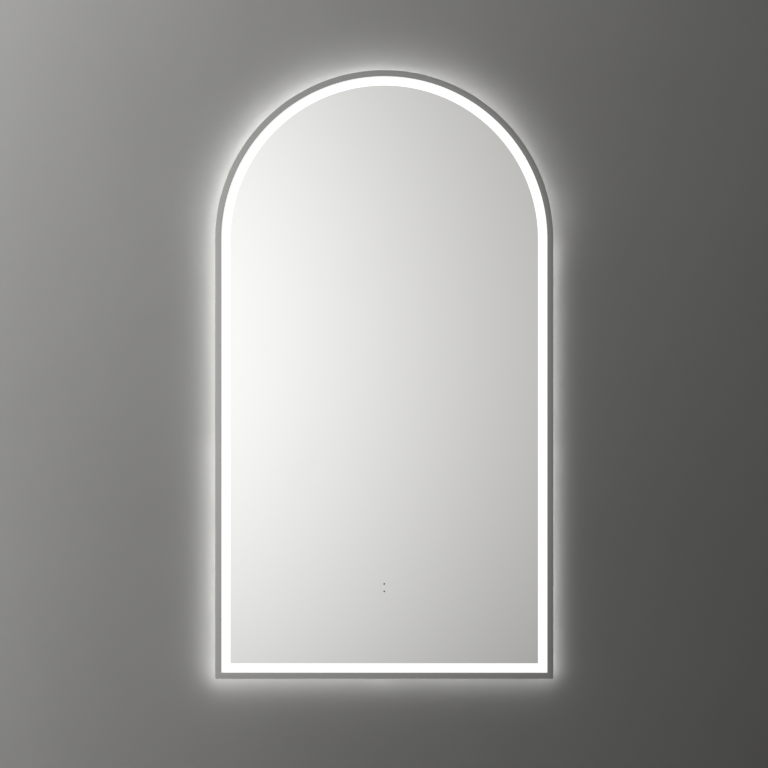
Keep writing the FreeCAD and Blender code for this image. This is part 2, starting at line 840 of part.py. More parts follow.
def make_hanger_bar():
    """Folded bar on the back plate; its lip drops behind the rail's hook."""
    body = new_body("hanger_bar" + BLANK)
    section = sketch_on(body, "YZ")
    lip = mm.rail_offset - mm.run_gap
    polygon(
        section,
        [
            (-mm.wall_standoff, hook_top),
            (-mm.wall_standoff, hook_top + mm.hanger_flange),
            (mm.rail_sheet - mm.wall_standoff, hook_top + mm.hanger_flange),
            (mm.rail_sheet - mm.wall_standoff, hook_top + mm.rail_sheet),
            (-hanger_rear, hook_top + mm.rail_sheet),
            (-hanger_rear, mm.rail_flange + mm.run_gap),
            (-lip, mm.rail_flange + mm.run_gap),
            (-lip, hook_top),
        ],
    )
    pad(body, section, mm.hanger_length, both_ways=True)
    holes = [
        hole_cutter(x, -mm.wall_standoff, z, mm.rivet_radius + mm.fit_gap, mm.rail_sheet)
        for x, z in rivet_places
    ]
    cut_away("hanger_bar", body, holes)


def make_hanger_rivets():
    """Blind rivets: a head on the bar, and a smaller one closed up inside the plate."""
    grip, low = mm.rail_sheet + mm.plate_thickness, mm.rivet_head_height
    shank = prism(SMALL_SIDES, mm.rivet_radius, -grip, 0)
    head = prism(HEAD_SIDES, mm.rivet_head_radius, 0, low)
    closed = prism(SMALL_SIDES, mm.rivet_closed_radius, -grip - low, -grip)
    rivet = shank.fuse([head, closed])
    rivets = [at(rivet, x, 0, z) for x, z in rivet_places]
    group("hanger_rivets", rivets, 0, mm.rail_sheet - mm.wall_standoff, 0)


# ---------------------------------------------------------------- back plate

bumper_places = [
    (side * (mm.arch_radius - mm.bumper_inset), mm.bumper_height - mm.leg_length)
    for side in (-1, 1)
]
driver_half = mm.driver_length / 2 + mm.driver_cover
driver_screw_places = [
    (side * (driver_half + mm.driver_ear / 2), -mm.driver_drop) for side in (-1, 1)
]
bracket_half = mm.window_width / 2 + mm.run_gap + mm.bracket_foot
bracket_screw_places = [
    (mm.window_across + side * (bracket_half - mm.bracket_screw_edge), -mm.window_drop)
    for side in (-1, 1)
]
cover_screw_places = [
    (mm.window_across, side * (mm.window_height + mm.cover_border) / 2 - mm.window_drop)
    for side in (-1, 1)
]
earth_place = (mm.earth_across, -mm.earth_drop)
VENT_COLUMNS = (-1.5, -0.5, 0.5, 1.5)
VENT_ROWS = (-0.5, 0.5)
SWAGES = 3


def make_back_plate():
    """Steel sheet with three pressed ribs, its window, its holes and its vents."""
    body = layer("back_plate" + BLANK, plate_back)
    outline = sketch_on(body, "XZ")
    arch(outline, mm.rim_inset, mm.rim_corner)
    rectangle(outline, mm.window_across, -mm.window_drop, mm.window_width, mm.window_height)
    pad(body, outline, mm.plate_thickness)
    ribs = sketch_on(body, "XZ")
    hollows = sketch_on(body, "XZ", mm.plate_thickness)
    inside = 2 * mm.plate_thickness
    for step in range(SWAGES):
        z = -mm.swage_drop - step * mm.swage_pitch
        rectangle(ribs, 0.0, z, mm.swage_length, mm.swage_width)
        rectangle(hollows, 0.0, z, mm.swage_length - inside, mm.swage_width - inside)
    pad(body, ribs, mm.swage_height, rearward=True)
    pocket(body, hollows, mm.swage_height)
    front, reach = plate_front - mm.overall_depth, mm.plate_thickness
    small = plate_screw_places + driver_screw_places + bracket_screw_places
    small += cover_screw_places + bumper_places + [earth_place]
    cutters = [hole_cutter(x, front, arch_height + z, screw_clearance, reach) for x, z in small]
    for x, z in rivet_places:
        cutters.append(hole_cutter(x, front, z, mm.rivet_radius + mm.fit_gap, reach))
    groove, level = mm.entry_groove_radius + mm.fit_gap, arch_height - mm.window_drop
    cutters.append(hole_cutter(mm.entry_across, front, level, groove, reach, 2 * SMALL_SIDES))
    for level in (mm.upper_vent_rise, -mm.lower_vent_drop):
        for row in VENT_ROWS:
            z = arch_height + level + row * mm.vent_pitch_up
            for column in VENT_COLUMNS:
                x = column * mm.vent_pitch_across
                cutters.append(slot_cutter(x, front, z, mm.vent_length, mm.vent_width, reach))
    cut_away("back_plate", body, cutters)


def screw(length):
    """A flat-headed screw that points to -Y, with the underside of its head at zero."""
    head = prism(HEAD_SIDES, mm.plate_head_radius, 0, mm.plate_head_height)
    return head.fuse(prism(SMALL_SIDES, mm.plate_screw_radius, -length, 0))


def screws_at(name, length, places, seat):
    """One node of like screws at these (x, z) places, with their heads on y = seat."""
    group(name, [at(screw(length), x, 0, z) for x, z in places], 0, seat, arch_height)


def make_back_plate_screws():
    screws_at("back_plate_screws", mm.plate_screw_length, plate_screw_places, -mm.wall_standoff)


def make_wall_bumpers():
    """Rubber feet that hold the mirror's lower end off the wall, each with a sunk screw."""
    body = new_body("wall_bumpers", 0.0, 0.0, arch_height)
    body.AllowCompound = True
    outline, wells, bores = (sketch_on(body, "XZ") for step in range(3))
    bore = around(mm.plate_screw_radius + mm.run_gap, SMALL_SIDES)
    for x, z in bumper_places:
        circle(outline, x, z, mm.bumper_radius)
        regular(wells, x, z, mm.bumper_well_radius, HEAD_SIDES)
        regular(bores, x, z, bore, SMALL_SIDES)
    pad(body, outline, mm.wall_standoff)
    pocket(body, wells, mm.bumper_well_depth, along_normal=True)
    pocket(body, bores, mm.wall_standoff, along_normal=True)


def make_bumper_screws():
    grip = mm.wall_standoff - mm.bumper_well_depth + mm.plate_thickness
    length = grip + 2 * mm.plate_head_height
    screws_at("bumper_screws", length, bumper_places, -mm.bumper_well_depth)


# ---------------------------------------------------------------- demister and touch switch

def make_demister_pad():
    body = layer("demister_pad", film_back + mm.demister_thickness)
    outline = sketch_on(body, "XZ")
    rectangle(outline, 0.0, -mm.demister_drop, mm.demister_width, mm.demister_height)
    pad(body, outline, mm.demister_thickness)
    soften(body, "Chamfer", mm.rim_corner, runs_along_y)


boot_across = mm.boot_width - mm.demister_width / 2
boot_level = mm.boot_height - mm.demister_drop - mm.demister_height / 2
boot_back = film_back + mm.demister_thickness + mm.boot_thickness
boot_middle = boot_back - mm.boot_thickness / 2


def make_demister_boot():
    """Moulded boot over the demister's two tails."""
    body = layer("demister_boot", boot_back)
    outline = sketch_on(body, "XZ")
    rectangle(outline, boot_across, boot_level, mm.boot_width, mm.boot_height)
    pad(body, outline, mm.boot_thickness)
    soften(body, "Chamfer", mm.boot_thickness / 3, runs_along_y)


def make_touch_case():
    """Tray stuck to the back of the glass, open towards the glass."""
    body = layer("touch_case", glass_back + mm.touch_thickness)
    outline = sketch_on(body, "XZ")
    rectangle(outline, 0.0, touch_rise, mm.touch_width, mm.touch_height)
    pad(body, outline, mm.touch_thickness)
    soften(body, "Chamfer", 2 * mm.touch_wall, runs_along_y)
    hollow = sketch_on(body, "XZ", mm.touch_thickness)
    inside = 2 * mm.touch_wall
    rectangle(hollow, 0.0, touch_rise, mm.touch_width - inside, mm.touch_height - inside)
    pocket(body, hollow, mm.touch_thickness - mm.touch_wall)


def make_touch_board():
    body = layer("touch_board", glass_back + mm.board_stand + mm.board_thickness)
    outline = sketch_on(body, "XZ")
    inside = 2 * (mm.touch_wall + mm.run_gap)
    rectangle(outline, 0.0, touch_rise, mm.touch_width - inside, mm.touch_height - inside)
    pad(body, outline, mm.board_thickness)


def make_touch_contacts():
    """One contact behind each mark on the glass."""
    body = layer("touch_contacts", glass_back + mm.board_stand)
    body.AllowCompound = True
    outline = sketch_on(body, "XZ")
    for side in (-0.5, 0.5):
        regular(outline, 0.0, touch_rise + side * mm.dot_spacing, mm.spring_radius, SMALL_SIDES)
    pad(body, outline, mm.board_stand)


# ---------------------------------------------------------------- driver

def make_driver_body():
    body = layer("driver_body", plate_front)
    outline = sketch_on(body, "XZ")
    rectangle(outline, 0.0, -mm.driver_drop, mm.driver_length, mm.driver_width)
    pad(body, outline, mm.driver_thickness)
    length = float(mm.driver_length)
    soften(
        body,
        "Fillet",
        mm.driver_round,
        lambda edge: abs(edge.Length - length) < 0.001 and edge.CenterOfMass.y < -1,
    )


def make_driver_covers():
    """End covers over the driver's terminals, each with an ear for its screw."""
    for name, side in (("driver_cover_output", -1), ("driver_cover_mains", 1)):
        body = layer(name, plate_front)
        outline = sketch_on(body, "XZ")
        middle = side * (mm.driver_length + mm.driver_cover) / 2
        rectangle(outline, middle, -mm.driver_drop, mm.driver_cover, mm.driver_width)
        pad(body, outline, mm.driver_thickness - mm.driver_round)
        ear = sketch_on(body, "XZ")
        ear_middle = side * (driver_half + mm.driver_ear / 2)
        rectangle(ear, ear_middle, -mm.driver_drop, mm.driver_ear, mm.driver_ear)
        pad(body, ear, mm.driver_ear_thickness)
        pilot = sketch_on(body, "XZ")
        hole = around(screw_clearance, SMALL_SIDES)
        regular(pilot, ear_middle, -mm.driver_drop, hole, SMALL_SIDES)
        pocket(body, pilot, mm.driver_ear_thickness, along_normal=True)


def make_driver_screws():
    length = mm.plate_thickness + mm.driver_ear_thickness
    screws_at("driver_screws", length, driver_screw_places, -mm.wall_standoff)


# ---------------------------------------------------------------- terminal box

block_front = mm.bracket_depth - mm.cover_sheet
block_back = block_front - mm.block_thickness
block_bore_level = -0.55 * mm.block_thickness
BLOCK_POLES = (-0.3, 0.0, 0.3)


def make_terminal_bracket():
    """Folded strap behind the window, which holds the terminal block within reach."""
    body = layer("terminal_bracket", plate_front)
    inner, fold, deep = mm.window_width / 2 + mm.run_gap, mm.cover_sheet, mm.bracket_depth
    half = [
        (bracket_half, 0.0),
        (bracket_half, -fold),
        (inner + fold, -fold),
        (inner + fold, -deep),
    ]
    under = [(inner, fold - deep), (inner, 0.0)]
    corners = [(mm.window_across + x, y) for x, y in under + half]
    corners += [(mm.window_across - x, y) for x, y in reversed(under + half)]
    section = sketch_on(body, "XY", -mm.window_drop)
    polygon(section, corners)
    pad(body, section, mm.bracket_width, both_ways=True)
    holes = sketch_on(body, "XZ")
    for x, z in bracket_screw_places:
        regular(holes, x, z, around(screw_clearance, SMALL_SIDES), SMALL_SIDES)
    pocket(body, holes, fold, along_normal=True)


def make_bracket_screws():
    length = mm.plate_thickness + 2 * mm.plate_head_height
    screws_at("bracket_screws", length, bracket_screw_places, -mm.wall_standoff)


well_places = [
    (mm.window_across + pole * mm.block_width, row * mm.block_height / 4 - mm.window_drop)
    for pole in BLOCK_POLES
    for row in (-1, 1)
]


def make_terminal_block():
    """Three poles, each with a square wire entry right through and two screw wells."""
    body = layer("terminal_block" + BLANK, plate_front - block_back)
    outline = sketch_on(body, "XZ")
    rectangle(outline, mm.window_across, -mm.window_drop, mm.block_width, mm.block_height)
    pad(body, outline, mm.block_thickness)
    bores = sketch_on(body, "XY", -mm.window_drop)
    for pole in BLOCK_POLES:
        x = mm.window_across + pole * mm.block_width
        rectangle(bores, x, block_bore_level, 2 * mm.block_bore, 2 * mm.block_bore)
    pocket(body, bores, mm.block_height, both_ways=True)
    deep = 2 * mm.block_bore
    front = plate_front - block_back - deep - mm.overall_depth
    wells = [
        hole_cutter(x, front, arch_height + z, mm.block_bore, deep) for x, z in well_places
    ]
    cut_away("terminal_block", body, wells)


def make_terminal_screws():
    """One clamping screw in each well of the block."""
    screw_blank = prism(SMALL_SIDES, mm.block_bore - mm.fit_gap, -mm.block_bore, 0)
    screws = [at(screw_blank, x, 0, z) for x, z in well_places]
    depth = plate_front - block_back - mm.block_bore
    group("terminal_screws", screws, 0, depth - mm.overall_depth, arch_height)


def make_terminal_cover():
    """Pressed cover over the window, dished towards the wall."""
    body = layer("terminal_cover", plate_back)
    x, z = mm.window_across, -mm.window_drop
    border = 2 * mm.cover_border
    flange = sketch_on(body, "XZ")
    rectangle(flange, x, z, mm.window_width + border, mm.window_height + border)
    pad(body, flange, mm.cover_sheet, rearward=True)
    dish = sketch_on(body, "XZ")
    rectangle(dish, x, z, mm.window_width, mm.window_height)
    pad(body, dish, mm.cover_rise + mm.cover_sheet, rearward=True)
    soften(body, "Chamfer", 2 * mm.cover_sheet, runs_along_y)
    hollow = sketch_on(body, "XZ")
    inside = 2 * mm.cover_sheet
    rectangle(hollow, x, z, mm.window_width - inside, mm.window_height - inside)
    pocket(body, hollow, mm.cover_rise)
    holes = sketch_on(body, "XZ")
    for screw_x, screw_z in cover_screw_places:
        regular(holes, screw_x, screw_z, around(screw_clearance, SMALL_SIDES), SMALL_SIDES)
    pocket(body, holes, mm.cover_sheet)


def make_terminal_cover_screws():
    length = mm.cover_sheet + mm.plate_thickness + 2 * mm.plate_head_height
    seat = mm.cover_sheet - mm.wall_standoff
    screws_at("terminal_cover_screws", length, cover_screw_places, seat)


def make_cable_grommet():
    """Rubber grommet that the supply cable comes through, with the plate in its neck."""
    plate_middle = mm.wall_standoff + mm.plate_thickness / 2
    body = new_body("cable_grommet", mm.entry_across, -plate_middle, arch_height - mm.window_drop)
    half, lip = mm.entry_length / 2, mm.plate_thickness / 2 + mm.fit_gap / 2
    rear_flange = sketch_on(body, "XZ", -lip)
    circle(rear_flange, 0.0, 0.0, mm.entry_flange_radius)
    pad(body, rear_flange, half - lip, rearward=True)
    neck = sketch_on(body, "XZ", -lip)
    regular(neck, 0.0, 0.0, mm.entry_groove_radius, 2 * SMALL_SIDES)
    pad(body, neck, 2 * lip)
    front_flange = sketch_on(body, "XZ", lip)
    regular(front_flange, 0.0, 0.0, mm.entry_flange_radius, 2 * SMALL_SIDES)
    pad(body, front_flange, half - lip)
    bore = sketch_on(body, "XZ", -half)
    circle(bore, 0.0, 0.0, mm.entry_radius)
    pocket(body, bore, mm.entry_length, along_normal=True)


# ---------------------------------------------------------------- earth point

def make_earth_tag():
    """Ring tag with a crimped barrel, under the earth screw."""
    body = layer("earth_tag", plate_front)
    x, z = earth_place
    ring_edge = sketch_on(body, "XZ")
    regular(ring_edge, x, z, mm.earth_ring_radius, HEAD_SIDES)
    pad(body, ring_edge, mm.earth_thickness)
    tongue = sketch_on(body, "XZ")
    rectangle(tongue, x - mm.earth_tongue / 2, z, mm.earth_tongue, mm.earth_width)
    pad(body, tongue, mm.earth_thickness)
    barrel = sketch_on(body, "YZ", x - mm.earth_tongue)
    regular(barrel, -mm.crimp_radius, z, mm.crimp_radius, 2 * SMALL_SIDES)
    pad(body, barrel, mm.crimp_length)
    hole = sketch_on(body, "XZ")
    regular(hole, x, z, around(mm.earth_hole_radius, SMALL_SIDES), SMALL_SIDES)
    pocket(body, hole, mm.earth_thickness, along_normal=True)


def make_earth_screw():
    """Pan head screw from the inside, through the tag and the plate."""
    x, z = earth_place
    outward = screw(mm.earth_thickness + mm.plate_thickness + mm.rail_sheet)
    inward = at(outward.mirror(Vector(0, 0, 0), Vector(0, 1, 0)), x, 0, z)
    depth = plate_front - mm.earth_thickness - mm.overall_depth
    group("earth_screw", [inward], 0, depth, arch_height)


# ---------------------------------------------------------------- leads inside

lead_line = plate_front - mm.lead_lift
lead_run = 3 * mm.rim_corner


def lead(name, radius, points):
    """The solid of a lead: straight runs joined by tangent arcs, through (x, depth, z).

    Its first run lies square to Y, and its section is a polygon within its radius.
    """
    corners = [Vector(x, depth, z) for x, depth, z in points]
    edges, start, bends = [], corners[0], []
    for before, corner, after in zip(corners, corners[1:], corners[2:]):
        arrive, leave = (corner - before).normalize(), (after - corner).normalize()
        cut = 0.45 * min((corner - before).Length, (after - corner).Length)
        half_turn = arrive.getAngle(leave) / 2
        bends.append(cut / math.tan(half_turn))
        first, last = corner - arrive * cut, corner + leave * cut
        inward = (leave - arrive).normalize()
        sagitta = bends[-1] * (1 / math.cos(half_turn) - 1)
        edges.append(Part.LineSegment(start, first).toShape())
        edges.append(Part.Arc(first, corner + inward * sagitta, last).toShape())
        start = last
    edges.append(Part.LineSegment(start, corners[-1]).toShape())
    path = Part.Wire(edges)
    around_path = [
        FreeCAD.Rotation(corners[1] - corners[0], 360 * step / SMALL_SIDES)
        for step in range(SMALL_SIDES)
    ]
    end = [corners[0] + turn.multVec(Vector(0, radius, 0)) for turn in around_path]
    solid = path.makePipeShell([Part.makePolygon(end + end[:1])], True, False)
    section = SMALL_SIDES / 2 * math.sin(2 * math.pi / SMALL_SIDES) * float(radius) ** 2
    expected = section * path.Length
    if abs(solid.Volume - expected) > 0.01 * expected:
        raise RuntimeError(f"{name} is not a plain tube")
    print(name, "length", round(path.Length), "radii", [round(bend) for bend in bends])
    return solid


def supply_leads():
    """From the terminal block to the driver, and to the earth point."""
    block_level = plate_front - block_back + block_bore_level
    block_foot = -mm.window_drop - mm.block_height / 2
    right, drop = driver_half + lead_run, -mm.driver_drop
    to_driver = lead(
        "mains lead",
        mm.mains_radius,
        [
            (mm.window_across, block_level, block_foot),
            (mm.window_across, block_level, block_foot - 0.7 * lead_run),
            (right, lead_line, block_foot - 1.9 * lead_run),
            (right, lead_line, drop),
            (driver_half, lead_line, drop),
        ],
    )
    earth_pole = mm.window_across + BLOCK_POLES[2] * mm.block_width
    crimp_line = plate_front - mm.crimp_radius
    crimp_end = mm.earth_across - mm.earth_tongue
    to_earth = lead(
        "earth lead",
        mm.earth_lead_radius,
        [
            (earth_pole, block_level, block_foot),
            (earth_pole, block_level, block_foot - 0.5 * lead_run),
            (crimp_end - 0.7 * lead_run, crimp_line, -mm.earth_drop),
            (crimp_end, crimp_line, -mm.earth_drop),
        ],
    )
    return [to_driver, to_earth]


def output_leads():
    """From the driver to the strip of lights, the demister and the touch switch."""
    output, drop, run = -driver_half, -mm.driver_drop, lead_run
    rim_face = mm.rim_inset - mm.arch_radius
    to_strip = lead(
        "strip lead",
        mm.lead_radius,
        [
            (output, lead_line, drop),
            (output - run, lead_line, drop),
            ((output + rim_face) / 2 - run, lead_line, drop - run),
            (rim_face + 1.5 * run, mm.strip_depth, -mm.strip_lead_drop),
            (rim_face, mm.strip_depth, -mm.strip_lead_drop),
        ],
    )
    to_demister = lead(
        "demister lead",
        mm.lead_radius,
        [
            (output, lead_line, drop + mm.output_pitch),
            (output - 0.7 * run, lead_line, drop + mm.output_pitch),
            (output - 1.3 * run, (lead_line + boot_back) / 2, (drop + boot_level) / 2),
            (output - 1.2 * run, boot_middle, boot_level),
            (boot_across - mm.boot_width / 2, boot_middle, boot_level),
        ],
    )
    touch_middle = glass_back + mm.touch_thickness / 2
    touch_top = touch_rise + mm.touch_height / 2
    left = output - run
    to_touch = lead(
        "touch lead",
        mm.lead_radius,
        [
            (output, lead_line, drop - mm.output_pitch),
            (left, lead_line, drop - mm.output_pitch),
            (left, lead_line, touch_top + 2.5 * run),
            (-run, (lead_line + touch_middle) / 2, touch_top + 1.2 * run),
            (0.0, touch_middle, touch_top + 0.8 * run),
            (0.0, touch_middle, touch_top),
        ],
    )
    return [to_strip, to_demister, to_touch]


def make_wiring_loom():
    leads = supply_leads() + output_leads()
    group("wiring_loom", leads, 0, -mm.overall_depth, arch_height)


def make_lead_clips():
    """Clips on the back plate, with the upright stretches of the leads through them."""
    wide, wall = mm.clip_width, mm.clip_wall
    left, right = -driver_half - lead_run, driver_half + lead_run
    touch_top = touch_rise + mm.touch_height / 2
    middle = (touch_top + 2.5 * lead_run - mm.driver_drop) / 2
    places = [
        (left, middle + lead_run, mm.lead_radius),
        (left, middle - lead_run, mm.lead_radius),
        (right, mm.output_pitch * 2 - mm.driver_drop, mm.mains_radius),
    ]
    clips = []
    for x, z, radius in places:
        tall = mm.lead_lift + radius + wall
        half = radius + mm.fit_gap + wall
        corner = Vector(x - half, mm.lead_lift - tall, z - wide / 2)
        block = Part.makeBox(2 * half, tall, wide, corner)
        bore = prism(SMALL_SIDES, around(radius + mm.fit_gap, SMALL_SIDES), 0, wide)
        bore = bore.rotated(Vector(0, 0, 0), Vector(1, 0, 0), 90)
        clips.append(block.cut(at(bore, x, 0, z - wide / 2)))
    group("lead_clips", clips, 0, lead_line - mm.overall_depth, arch_height)


# ---------------------------------------------------------------- build, check and write

MAKERS = [
    make_frame_arch,
    make_frame_sill,
    make_corner_keys,
    make_corner_key_screws,
    make_glazing_gasket,
    make_mirror_glass,
    make_safety_film,
    make_bond_tape,
    make_light_rim,
    make_led_tape,
    make_led_chips,
    make_rear_diffuser,
    make_wall_rail,
    make_hanger_bar,
    make_hanger_rivets,
    make_back_plate,
    make_back_plate_screws,
    make_wall_bumpers,
    make_bumper_screws,
    make_demister_pad,
    make_demister_boot,
    make_touch_case,
    make_touch_board,
    make_touch_contacts,
    make_driver_body,
    make_driver_covers,
    make_driver_screws,
    make_terminal_bracket,
    make_bracket_screws,
    make_terminal_block,
    make_terminal_screws,
    make_terminal_cover,
    make_terminal_cover_screws,
    make_cable_grommet,
    make_earth_tag,
    make_earth_screw,
    make_wiring_loom,
    make_lead_clips,
]
for make in MAKERS:
    make()
doc.recompute()

for thing in doc.Objects:
    if {"Invalid", "Error"} & set(thing.State):
        raise RuntimeError(f"{thing.Label} failed: {thing.State}")

SUBPART_TYPES = ("PartDesign::Body", "Part::Cut", "Part::Feature", "Part::Mirroring")
subparts = [
    thing
    for thing in doc.Objects
    if thing.TypeId in SUBPART_TYPES and not thing.Label.endswith(BLANK)
]
os.makedirs("parts", exist_ok=True)
for thing in subparts:
    if thing.Shape.isNull() or not thing.Shape.isValid():
        raise RuntimeError(f"{thing.Label} has no valid shape")
for thing in subparts:
    thing.Shape.exportStep(f"parts/{thing.Label}.step")
print(len(subparts), "sub-parts written")
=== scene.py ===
"""A lighted arch mirror on its wall rail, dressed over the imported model.

Lengths are written in millimetres, as they stand on a workshop drawing, and turned into
metres when a mesh is made. X runs right, Z up and Y to the rear.
"""

import json
import math

import bmesh
import bpy
from mathutils import Matrix, Vector
from mathutils.geometry import tessellate_polygon


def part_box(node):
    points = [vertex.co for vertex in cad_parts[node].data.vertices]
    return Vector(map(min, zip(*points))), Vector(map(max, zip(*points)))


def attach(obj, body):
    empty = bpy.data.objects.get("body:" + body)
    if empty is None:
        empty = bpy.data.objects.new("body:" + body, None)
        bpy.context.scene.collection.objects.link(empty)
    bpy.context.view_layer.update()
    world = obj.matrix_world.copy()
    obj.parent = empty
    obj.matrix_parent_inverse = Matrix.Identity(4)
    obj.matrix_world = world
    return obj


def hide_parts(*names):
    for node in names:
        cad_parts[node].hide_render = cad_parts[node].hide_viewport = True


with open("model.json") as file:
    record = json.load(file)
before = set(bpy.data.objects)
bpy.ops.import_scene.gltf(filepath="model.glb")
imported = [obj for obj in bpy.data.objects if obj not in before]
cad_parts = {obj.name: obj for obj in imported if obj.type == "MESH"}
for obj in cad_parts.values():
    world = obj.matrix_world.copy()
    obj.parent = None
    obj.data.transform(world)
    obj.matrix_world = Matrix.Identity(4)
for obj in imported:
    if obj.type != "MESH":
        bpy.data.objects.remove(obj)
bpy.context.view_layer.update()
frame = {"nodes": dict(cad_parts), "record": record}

MM = 0.001


def place(node):
    """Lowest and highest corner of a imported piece, in millimetres."""
    low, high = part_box(node)
    return low / MM, high / MM


RADIUS = place("frame_arch")[1].x
ARCH_Z = place("frame_arch")[1].z - RADIUS
FOOT_Z = place("frame_sill")[0].z
FRONT_Y = place("frame_arch")[0].y

# ------------------------------------------------------------------ node trees


def put(tree, socket, value):
    """Sets a socket to a number or colour, or links it to another node's output."""
    if isinstance(value, bpy.types.NodeSocket):
        tree.links.new(value, socket)
    else:
        socket.default_value = value


def node(tree, kind, inputs=None, **settings):
    made = tree.nodes.new("ShaderNode" + kind)
    for setting, value in settings.items():
        setattr(made, setting, value)
    for socket, value in (inputs or {}).items():
        put(tree, made.inputs[socket], value)
    return made


def calc(tree, operation, *values, clamped=False):
    made = node(tree, "Math", operation=operation, use_clamp=clamped)
    for socket, value in zip(made.inputs, values):
        put(tree, socket, value)
    return made.outputs[0]


def times(tree, first, second, clamped=False):
    return calc(tree, "MULTIPLY", first, second, clamped=clamped)


def plus(tree, first, second):
    return calc(tree, "ADD", first, second)


def minus(tree, first, second):
    return calc(tree, "SUBTRACT", first, second)


def held(tree, value, low, high):
    """A value that goes no lower and no higher than two limits."""
    return calc(tree, "MINIMUM", calc(tree, "MAXIMUM", value, low), high)


def dot(tree, first, second):
    """How far two directions agree."""
    return node(tree, "VectorMath", {0: first, 1: second}, operation="DOT_PRODUCT").outputs["Value"]


def blend_colour(tree, share, first, second):
    made = node(tree, "Mix", data_type="RGBA", blend_type="MIX")
    put(tree, made.inputs[0], share)
    put(tree, made.inputs[6], first)
    put(tree, made.inputs[7], second)
    return made.outputs[2]


def between(tree, value, low, high, to_low=0.0, to_high=1.0, kind="LINEAR"):
    """Maps a value from one span to another, and holds it at the ends."""
    sockets = {"Value": value, "From Min": low, "From Max": high, "To Min": to_low, "To Max": to_high}
    return node(tree, "MapRange", sockets, interpolation_type=kind).outputs["Result"]


def noise(tree, vector, scale, detail=2.0, roughness=0.5):
    sockets = {"Vector": vector, "Scale": scale, "Detail": detail, "Roughness": roughness}
    return node(tree, "TexNoise", sockets).outputs["Fac"]


def effect(name, inputs, outputs):
    """Starts a shared effect: a node group with named inputs and outputs."""
    tree = bpy.data.node_groups.new(name, "ShaderNodeTree")
    kinds = {"value": "NodeSocketFloat", "vector": "NodeSocketVector"}
    for label, kind, start in inputs:
        socket = tree.interface.new_socket(label, in_out="INPUT", socket_type=kinds[kind])
        socket.default_value = start
    for label, kind in outputs:
        tree.interface.new_socket(label, in_out="OUTPUT", socket_type=kinds[kind])
    return tree, tree.nodes.new("NodeGroupInput").outputs, tree.nodes.new("NodeGroupOutput").inputs


def use(tree, group, inputs=None):
    """Places a shared effect in a material, with that material's own values."""
    made = tree.nodes.new("ShaderNodeGroup")
    made.node_tree = group
    for socket, value in (inputs or {}).items():
        put(tree, made.inputs[socket], value)
    return made.outputs


def here(tree):
    """The point on the mirror in metres, which moves with the piece."""
    return node(tree, "TexCoord").outputs["Object"]


# ------------------------------------------------------------------ shared effects


def round_the_arch():
    """How far a point lies along the frame's run, and how far inside its outer edge."""
    tree, given, out = effect(
        "round_the_arch",
        [("Point", "vector", (0.0, 0.0, 0.0))],
        [("Along", "value"), ("Inset", "value"), ("Run", "vector")],
    )
    split = node(tree, "SeparateXYZ", {0: given["Point"]}).outputs
    above = calc(tree, "MAXIMUM", minus(tree, split["Z"], ARCH_Z * MM), 0.0)
    below = calc(tree, "MAXIMUM", minus(tree, ARCH_Z * MM, split["Z"]), 0.0)
    across = calc(tree, "ABSOLUTE", split["X"])
    reach = calc(tree, "SQRT", plus(tree, times(tree, across, across), times(tree, above, above)))
    side_inset = minus(tree, RADIUS * MM, reach)
    foot_inset = minus(tree, split["Z"], FOOT_Z * MM)
    on_foot = calc(tree, "LESS_THAN", foot_inset, side_inset)
    turned_by = calc(tree, "ARCTAN2", across, above)
    run = plus(tree, times(tree, turned_by, RADIUS * MM), below)
    signed = times(tree, run, calc(tree, "SIGN", split["X"]))
    along = plus(tree, times(tree, signed, minus(tree, 1.0, on_foot)), times(tree, split["X"], on_foot))
    inset = calc(tree, "MINIMUM", side_inset, foot_inset)
    put(tree, out["Along"], along)
    put(tree, out["Inset"], inset)
    put(tree, out["Run"], node(tree, "CombineXYZ", {"X": along, "Y": split["Y"], "Z": inset}).outputs[0])
    return tree


def drawn_lines():
    """Fine lines that a die leaves along a drawn or brushed metal."""
    tree, given, out = effect(
        "drawn_lines",
        [("Run", "vector", (0.0, 0.0, 0.0)), ("Lines", "value", 2500.0), ("Length", "value", 12.0)],
        [("Shade", "value"), ("Height", "value")],
    )
    split = node(tree, "SeparateXYZ", {0: given["Run"]}).outputs
    stretched = node(tree, "CombineXYZ", {
        "X": times(tree, split["X"], given["Length"]),
        "Y": times(tree, split["Y"], given["Lines"]),
        "Z": times(tree, split["Z"], given["Lines"]),
    }).outputs[0]
    fine = noise(tree, stretched, 1.0, 3.0, 0.6)
    broad = noise(tree, stretched, 0.22, 1.0, 0.5)
    put(tree, out["Height"], fine)
    put(tree, out["Shade"], plus(tree, times(tree, fine, 0.6), times(tree, broad, 0.4)))
    return tree


def worn_arris():
    """A mask of the edges that hands and tools rub bright."""
    tree, given, out = effect(
        "worn_arris",
        [("Point", "vector", (0.0, 0.0, 0.0)), ("Width", "value", 0.0006), ("Patches", "value", 160.0)],
        [("Mask", "value")],
    )
    true_face = node(tree, "NewGeometry").outputs["Normal"]
    rounded = node(tree, "Bevel", {"Radius": given["Width"]}, samples=4).outputs["Normal"]
    lean = dot(tree, true_face, rounded)
    edge = between(tree, lean, 0.985, 0.88)
    patches = between(tree, noise(tree, given["Point"], given["Patches"], 3.0, 0.6), 0.38, 0.62)
    put(tree, out["Mask"], times(tree, edge, patches, clamped=True))
    return tree


